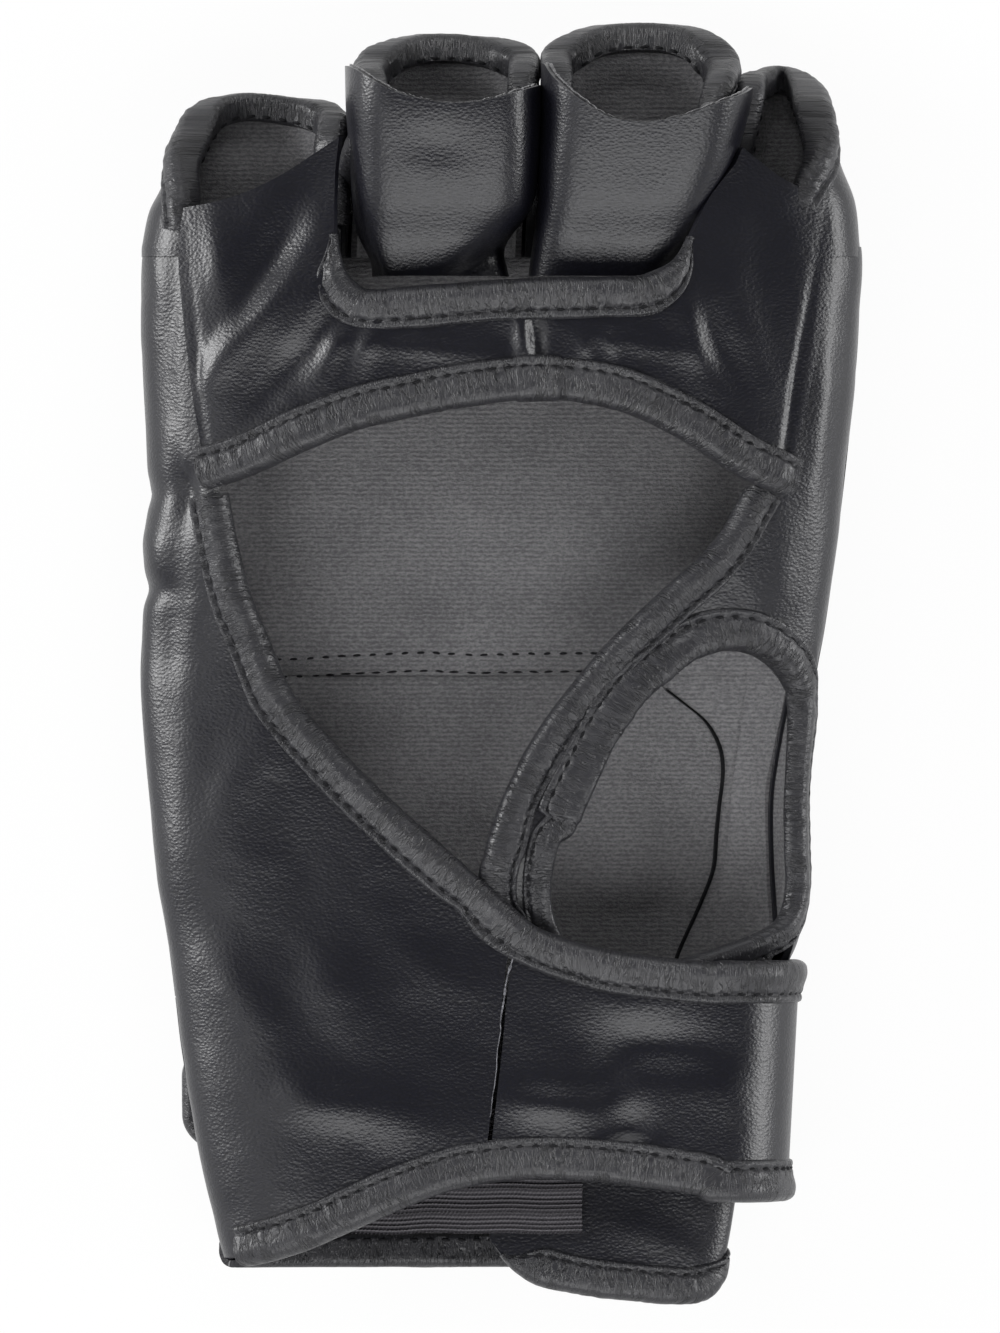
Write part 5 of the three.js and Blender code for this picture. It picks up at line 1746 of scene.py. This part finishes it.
@dataclass
class PaddedFinger:
    """Padded back of one finger: cover, foam, lining and the tape round its front rim."""

    name: str
    foam_height: float = 5.0
    wrap: float = 0.35
    columns: int = 110
    rows: int = 60

    def angle(self, u: Array, v: Array) -> Array:
        """Angle round the finger, wrapping past the sides towards the rim."""
        loose = self.name in FORM.outline.loops
        wrap = self.wrap * (np.clip(4 * v - 2, 0, 1) if loose else 1 + 0 * v)
        curl = smoothstep(v, 0.45, 1.0)
        left = {"pinky": 1.0 + 0 * v, "ring": wrap + 0.25 * curl, "index": 0.1 + 0 * v}.get(self.name, wrap)
        right = {"index": 1.0 + 0.5 * curl, "middle": wrap + 0.2 * curl}.get(self.name, wrap)
        return lerp(math.pi - left, 2 * math.pi + right, u)

    def lining_depth(self, u: Array) -> Array:
        """Depth of the lining, less at the thin sides."""
        full = smoothstep(np.minimum(u, 1 - u) * 14, 1, 3)
        return lerp(LEATHER + WIDE_GAP, LINING_DEPTH, full)

    def foam(self, u: Array, v: Array) -> Array:
        """Height of the foam."""
        return self.foam_height * bell((u - 0.23) / 0.54) * bell(v * 4 / 3)

    def rim(self, u: Array) -> Array:
        """Row of the front rim, dropping by a quarter circle at both corners."""
        corner = np.clip(1 - np.minimum(u, 1 - u) / 0.07, 0, 1)
        return smooth(FORM.outline.rims[self.name], 1, u) + 22 * (1 - np.sqrt(1 - corner**2))

    def bound_edge(self) -> Array:
        """The rim and both side edges, as angle, row and the share of the way round."""
        left = np.linspace(0.86 if self.name == "pinky" else 0.3, 1, 60)
        right = np.linspace(1, 0.86 if self.name == "index" else 0.3, 60)
        across = (1 - np.cos(np.linspace(0, math.pi, 241))) / 2
        u = np.concatenate([0 * left, across[1:-1], 0 * right + 1])
        v = np.concatenate([left, np.ones(239), right])
        y_px = lerp(FORM.outline.finger_crease + 4.5, self.rim(u), v)
        return np.stack([self.angle(u, v), y_px, u], 1)

    def build(self) -> None:
        """Makes the four pieces and the stitches."""
        surface = FORM.finger(self.name)
        u, v = np.linspace(0, 1, self.columns)[:, None], np.linspace(0, 1, self.rows)[None, :]
        y_px = lerp(FORM.outline.finger_crease + 4.5, self.rim(u), v)
        angle = self.angle(u, v)
        cover = sheet_on(f"{self.name}_cover_leather", surface, angle, y_px, 0.0, LEATHER)
        settle(cover, Finish.LEATHER, BENDING, [f"{self.name}_cover"])
        inside = slice(24, -24)
        depth = LEATHER + WIDE_GAP
        core = sheet_on(f"{self.name}_foam_pad", surface, angle[inside, :46], y_px[inside, :46], depth,
                        depth + FOAM_EDGE + self.foam(u, v)[inside, :46])
        settle(core, Finish.FOAM, BENDING, [f"{self.name}_foam"])
        depth = self.lining_depth(u) + self.foam(u, v)
        lining = sheet_on(f"{self.name}_lining_knit", surface, angle, y_px, depth + LINING, depth)
        settle(lining, Finish.LINING, BENDING, [f"{self.name}_lining"])
        edge = self.bound_edge()
        thick = self.lining_depth(np.clip(np.abs(edge[:, 2] - 0.5), 0, 0.5 - 1 / 14) + 0.5) + LINING
        cut = TapeCut(reach=3.9, roll=0.5, lip=1.3, seed=60 + len(self.name), crinkle=0.24, slack=0.3)
        tape = Tape.along(cut, surface, edge[:, :2], 1, 0.0, thick).creased(1.2)
        settle(tape.mesh(f"{self.name}_binding_tape"), Finish.TAPE, BENDING, [f"{self.name}_binding"])
        settle(tape.under_stitches(f"{self.name}_binding_stitches"), Finish.THREAD, BENDING)


@dataclass
class FingerFront:
    """Leather front of a finger tube, raw at its front edge, with its knitted backing."""

    name: str
    columns: int = 120
    rows: int = 80

    def relief(self) -> Relief:
        """Flat places and soft dents of the leather."""
        dents = {
            "ring": (Ridge(436, 148, 8, 32, 20, -0.35), Ridge(505, 256, -32, 60, 20, -3.0),
                     Ridge(362, 264, 60, 30, 10, -1.4)),
            "middle": (Ridge(640, 175, 0, 90, 40, -0.2), Ridge(690, 262, -40, 40, 14, -1.5)),
        }
        return relief_of(dents[self.name], 0.05, 70)

    def build(self) -> None:
        """Makes the leather and the backing that shows along the cut edge."""
        surface = FORM.loop(self.name)
        u, v = np.linspace(0, 1, self.columns)[:, None], np.linspace(0, 1, self.rows)[None, :]
        share = np.sin(math.pi * (u - 0.5))
        middle, half = FORM.edges(FORM.outline.loops[self.name], np.array(90.0))
        edge = smooth(FORM.outline.loop_edges[self.name], 1, FORM.x_px(middle + half * share))
        angle = np.arccos(np.sign(share) * np.abs(share) ** (FORM.loop_roundness / 2)) + 0 * v
        y_px = lerp(FORM.outline.loop_end, edge, v)
        relief = self.relief()
        leather = sheet_on(f"{self.name}_front_leather", surface, angle, y_px, 0.0, 0.75, relief)
        settle(leather, Finish.LEATHER, BENDING, [f"{self.name}_loop"])
        frayed = 1.6 * np.abs(ripple(u * 85, 81)) + 1.0 * np.abs(ripple(u * 31, 82))
        y_back = lerp(FORM.outline.loop_end, edge - frayed, v)
        backing = sheet_on(f"{self.name}_front_backing", surface, angle, y_back, 0.78, 1.25, relief)
        settle(backing, Finish.LINING, BENDING)


@dataclass
class Cuff:
    """Back of the cuff with its lining and tape, and the loop tape that the strap closes on."""

    flap_angle: float = -0.5
    cut: TapeCut = TapeCut(reach=4.6, roll=0.5, lip=1.2, seed=91, crinkle=0.1)

    def build(self) -> None:
        """Makes the leather, the lining, the tape and the loop tape."""
        o = FORM.outline
        u, v = np.linspace(0, 1, 110)[:, None], np.linspace(0, 1, 50)[None, :]
        end = 2 * math.pi + self.flap_angle
        angle = lerp(math.pi + SEAM_ANGLE, end - SEAM_ANGLE, u) + 0 * v
        y_px = lerp(o.cuff_start, o.cuff_end, v) + 0 * u
        back = sheet_on("back_cuff_leather", FORM.hand, angle, y_px, 0.0, LEATHER)
        settle(back, Finish.LEATHER, [Body.HAND], ["back_cuff"])
        inner = lerp(math.pi + 0.12, end - 2 * SEAM_ANGLE, u) + 0 * v
        depth = LEATHER + GAP
        lining = sheet_on("cuff_lining_knit", FORM.hand, inner, y_px, depth, depth + LINING)
        settle(lining, Finish.LINING, [Body.HAND], ["cuff_lining"])
        path = np.stack([np.linspace(angle[6, 0], angle[-1, 0], 200), np.full(200, o.cuff_end)], 1)
        tape = Tape.along(self.cut, FORM.hand, path, -1, 0.0, depth + LINING).creased()
        settle(tape.mesh("back_cuff_binding_tape"), Finish.TAPE, [Body.HAND], ["back_cuff_binding"])
        settle(tape.stitches("back_cuff_binding_stitches"), Finish.THREAD, [Body.HAND])
        settle(tape.under_stitches("back_cuff_inner_stitches"), Finish.THREAD, [Body.HAND])
        left, right, top, low = o.loop_patch
        x_px = lerp(left, right, u)
        patch_angle = 2 * math.pi - FORM.palm_angle(x_px, np.full_like(x_px, (top + low) / 2)) + 0 * v
        patch = sheet_on("cuff_loop_tape", FORM.hand, patch_angle, lerp(top, low, v) + 0 * u, -1.3, -0.3)
        settle(patch, Finish.HOOK, [Body.HAND], ["cuff_loop_patch"])


@dataclass
class InnerFlap:
    """Flap that closes the cuff under the strap, with the elastic that draws it in."""

    cut: TapeCut = TapeCut(reach=4.8, roll=0.7, lip=1.2, seed=97, crinkle=0.2)

    def build(self) -> None:
        """Makes the leather, its tape and the elastic."""
        o = FORM.outline
        u = np.linspace(0, 1, 140)
        left = float(FORM.palm_angle(np.array(o.flap_left[0]), np.array(o.flap_left[1])))
        lower = np.stack([lerp(-0.5 + SEAM_ANGLE, left, u), smooth(o.flap_edge, 1, u)], 1)
        upper = np.stack([lower[:, 0], np.full(len(u), o.flap_start)], 1)
        a, b = between(upper, lower, 60)
        relief = relief_of((Ridge(660, 1240, 20, 60, 16, 0.3),), 0.12, 88)
        flap = sheet_on("inner_flap_leather", FORM.flap, a, b, 0.0, LEATHER, relief)
        settle(flap, Finish.LEATHER, [Body.HAND], ["inner_flap"])
        tape = Tape.along(self.cut, FORM.flap, lower[:-2], -1, 0.0, LEATHER, relief=relief,
                          narrow=lambda t: 1 - 0.8 * smoothstep(t, 0.84, 1)).creased(1.2)
        settle(tape.mesh("inner_flap_binding_tape"), Finish.TAPE, [Body.HAND], ["inner_flap_binding"])
        settle(tape.stitches("inner_flap_binding_stitches"), Finish.THREAD, [Body.HAND])
        left_px, right_px, top, low = o.elastic
        u, v = np.linspace(0, 1, 120)[:, None], np.linspace(0, 1, 200)[None, :]
        y_px = lerp(top, low, v) + 1.6 * ripple(u * 7, 33)
        angle = FORM.palm_angle(lerp(left_px, right_px, u) + 0 * v, y_px)
        cords = 0.13 * np.sin(v * 2 * math.pi * 25) + 0.12 * np.sin(v * 2 * math.pi * 3.5)
        depth = lerp(2.9, 5.0, u) - cords
        band = sheet_on("elastic_weave", FORM.hand, angle, y_px, depth, lerp(4.1, 6.2, u) + 0 * v)
        settle(band, Finish.ELASTIC, [Body.HAND], ["elastic_band"])


def strap_relief() -> Relief:
    """Slow waves of the strap's leather."""
    return relief_of((
        Ridge(650, 1044, 4, 66, 27, -1.5), Ridge(604, 1074, 30, 26, 26, -1.0),
        Ridge(628, 1126, 20, 26, 24, -1.2),
        Ridge(550, 1104, 6, 46, 19, 1.1), Ridge(700, 1085, 15, 50, 26, 0.4),
    ), 0.1, 19)


@dataclass
class WristStrap:
    """Strap from its seam on the palm, round the thumb side and across the back."""

    cut_share: float = 1.3

    def build(self) -> None:
        """Makes the palm part, the folded end and its hook tape."""
        path = WristTape()
        upper, tail, lower = path.strap_path()
        count = 200
        top, low = self.even(upper, count), self.even(lower[::-1], count)
        a, b = between(top, low, 60)
        relief = self.fading(strap_relief())
        palm = sheet_on("strap_palm_leather", FORM.strap, a, b, 0.0, LEATHER, relief)
        settle(palm, Finish.LEATHER, (Body.HAND, Body.STRAP), ["strap_panel"])
        half = len(tail) // 2
        first, second = self.even(tail[:half], 260), self.even(tail[half:][::-1], 260)
        a, b = between(first, second, 56)
        end = sheet_on("strap_end_leather", FORM.strap, a, b, 0.0, LEATHER + 0.3)
        settle(end, Finish.LEATHER, (Body.STRAP, Body.STRAP_END), ["strap_tail"])
        self.seam()
        low_share, high_share, top_px, low_px = FORM.outline.hook_patch
        u, v = np.linspace(low_share, high_share, 40)[:, None], np.linspace(top_px, low_px, 20)[None, :]
        hook = sheet_on("strap_hook_tape", FORM.strap, u + 0 * v, v + 0 * u, 1.8, 2.8)
        settle(hook, Finish.HOOK, [Body.STRAP_END], ["strap_hook_patch"])

    @staticmethod
    def even(path: Array, count: int) -> Array:
        """The path with evenly spaced places."""
        line = FORM.strap(path[:, 0], path[:, 1], 0.0)
        run = np.concatenate([[0], np.cumsum(np.linalg.norm(np.diff(line, axis=0), axis=1))])
        at = np.linspace(0, run[-1], count)
        return np.stack([np.interp(at, run, path[:, k]) for k in (0, 1)], 1)

    @staticmethod
    def fading(relief: Relief) -> Relief:
        """The relief, fading out before the fold and the tapes."""
        def calm(x: Array, y: Array) -> Array:
            """The relief times its shares that are left beside the fold and the tapes."""
            edges = smoothstep(FORM.y_px(y), 985, 1012) * (1 - smoothstep(FORM.y_px(y), 1128, 1150))
            return relief(x, y) * (1 - smoothstep(x, 38, 45)) * edges

        return calm

    def seam(self) -> None:
        """Pale cut edge that shows along the strap's seam.

        It is a thin cord whose width and place waver along its length.
        """
        points = trace(((515, 950), (508, 975), (500, 1030), (494, 1085), (486, 1148)), 240)
        places = on_strap(points)
        t = np.linspace(0, 1, len(points))
        line = FORM.strap(places[:, 0], places[:, 1], -0.12)
        line[:, 0] += 0.12 * ripple(t * 22, 5)
        size = 0.07 + 0.22 * np.abs(ripple(t * 45, 6)) * smoothstep(t, 0.5, 0.05)
        turn = np.linspace(0, 2 * math.pi, 8, endpoint=False)
        ring = np.stack([np.cos(turn), 0 * turn, 0.7 * np.sin(turn)], 1)
        outer = line[:, None] + ring[None] * size[:, None, None]
        index = np.arange(len(line) * 8).reshape(-1, 8)
        after = np.roll(index, -1, axis=1)
        walls = np.stack([index[:-1], after[:-1], after[1:], index[1:]], -1).reshape(-1, 4)
        caps = [index[k][order] for k in (0, -1) for order in ([0, 1, 2, 3], [0, 3, 4, 7], [4, 5, 6, 7])]
        caps = [np.asarray(c)[::-1] if k < 3 else c for k, c in enumerate(caps)]
        faces = np.concatenate([walls, np.array(caps)])
        cord = make_mesh("strap_seam_edge", outer.reshape(-1, 3), faces, None)
        settle(cord, Finish.RAW_EDGE, (Body.HAND, Body.STRAP))


@dataclass
class Studio:
    """Pale floor, soft boxes round the glove and the camera straight above it."""

    camera_height: float = 4.0
    view_height: float = 0.168 * 1.333
    floor_level: float = -0.0005
    floor_whiteness: float = 0.94
    zenith: float = 0.07
    horizon: float = 0.85

    def floor(self) -> None:
        """Pale floor that the camera and reflections see as white, with a faint shadow."""
        mesh = bpy.data.meshes.new("floor")
        s = 3.0
        low = self.floor_level
        corners = [(-s, -s, low), (s, -s, low), (s, s, low), (-s, s, low)]
        mesh.from_pydata(corners, [], [(0, 1, 2, 3)])
        piece = bpy.data.objects.new("floor", mesh)
        bpy.context.scene.collection.objects.link(piece)
        g = Graph("pale_floor")
        path = g.node("ShaderNodeLightPath")
        seen = Signal(g, path.outputs["Is Camera Ray"]) + Signal(g, path.outputs["Is Glossy Ray"])
        seen = seen + Signal(g, path.outputs["Is Transmission Ray"])
        plain = g.node("ShaderNodeBsdfDiffuse", None, {"Color": (0.86, 0.86, 0.86, 1)})
        white = g.node("ShaderNodeEmission", None, {"Color": (1, 1, 1, 1), "Strength": 1.0})
        share = seen.share(0, 1) * self.floor_whiteness
        shaders = {0: share, 1: plain.outputs[0], 2: white.outputs[0]}
        mixed = g.node("ShaderNodeMixShader", None, shaders)
        g.node("ShaderNodeOutputMaterial", None, {0: mixed.outputs[0]})
        mesh.materials.append(g.material)

    def lights(self) -> None:
        """Soft boxes on the sides, given by their glow, leaving the sky straight above dim."""
        for name, azimuth, tilt, glow, size in (
            ("box_left", 168, 72, 15.0, (0.75, 0.7)), ("box_left_wide", 184, 46, 0.9, (1.0, 1.0)),
            ("box_right", 2, 74, 7.0, (1.0, 0.8)), ("box_fingers", 90, 50, 2.0, (1.2, 0.8)),
            ("box_wrist", 270, 38, 3.6, (2.2, 0.9)),
        ):
            light = bpy.data.lights.new(name, "AREA")
            light.shape, light.size, light.size_y = "RECTANGLE", *size
            light.energy = glow * math.pi * size[0] * size[1]
            piece = bpy.data.objects.new(name, light)
            bpy.context.scene.collection.objects.link(piece)
            a, t = math.radians(azimuth), math.radians(tilt)
            direction = np.array([math.sin(t) * math.cos(a), math.sin(t) * math.sin(a), math.cos(t)])
            piece.location = 1.7 * direction
            piece.rotation_euler = (t, 0, a + math.pi / 2)

    def world(self) -> None:
        """Grey sky, dimmer overhead than at the horizon, and white where the camera sees it."""
        world = bpy.data.worlds.new("studio")
        bpy.context.scene.world = world
        world.use_nodes = True
        tree = world.node_tree
        tree.nodes.clear()
        path = tree.nodes.new("ShaderNodeLightPath")
        place, split = tree.nodes.new("ShaderNodeTexCoord"), tree.nodes.new("ShaderNodeSeparateXYZ")
        fall = tree.nodes.new("ShaderNodeMapRange")
        fall.interpolation_type = "SMOOTHSTEP"
        for k, value in enumerate((0.12, 0.7, self.horizon, self.zenith), start=1):
            fall.inputs[k].default_value = value
        dim = tree.nodes.new("ShaderNodeBackground")
        tree.links.new(place.outputs["Generated"], split.inputs[0])
        tree.links.new(split.outputs[2], fall.inputs[0])
        tree.links.new(fall.outputs[0], dim.inputs[1])
        white = tree.nodes.new("ShaderNodeBackground")
        white.inputs[0].default_value, white.inputs[1].default_value = (1, 1, 1, 1), 1.0
        mixed, out = tree.nodes.new("ShaderNodeMixShader"), tree.nodes.new("ShaderNodeOutputWorld")
        tree.links.new(path.outputs["Is Camera Ray"], mixed.inputs[0])
        tree.links.new(dim.outputs[0], mixed.inputs[1])
        tree.links.new(white.outputs[0], mixed.inputs[2])
        tree.links.new(mixed.outputs[0], out.inputs[0])

    def camera(self) -> None:
        """Long lens straight above, framed as the photograph."""
        data = bpy.data.cameras.new("camera")
        piece = bpy.data.objects.new("camera", data)
        bpy.context.scene.collection.objects.link(piece)
        reach = self.camera_height - 0.02
        data.sensor_fit = "VERTICAL"
        data.sensor_height = 24.0
        data.lens = data.sensor_height * reach / self.view_height
        data.clip_end = 20.0
        piece.location = (0.0, float(FORM.y(666.5)) * 0.001, self.camera_height)
        bpy.context.scene.camera = piece
        bpy.context.scene.view_settings.view_transform = "Standard"

    def build(self) -> None:
        """Sets the whole stage."""
        self.floor()
        self.lights()
        self.world()
        self.camera()


def main() -> None:
    """Builds the glove, then the studio."""
    logging.basicConfig(level=logging.INFO, format="%(message)s")
    assemblies = [
        KnucklePad(), BackPad(), UlnarSide(), ThumbSide(), PalmBridge(),
        *(PaddedFinger(name) for name in FORM.outline.fingers),
        *(FingerFront(name) for name in FORM.outline.loops),
        Cuff(), InnerFlap(), WristStrap(), WristTape(), Studio(),
    ]
    for assembly in assemblies:
        assembly.build()
        log.info("built %s", type(assembly).__name__)


if __name__ == "__main__":
    main()
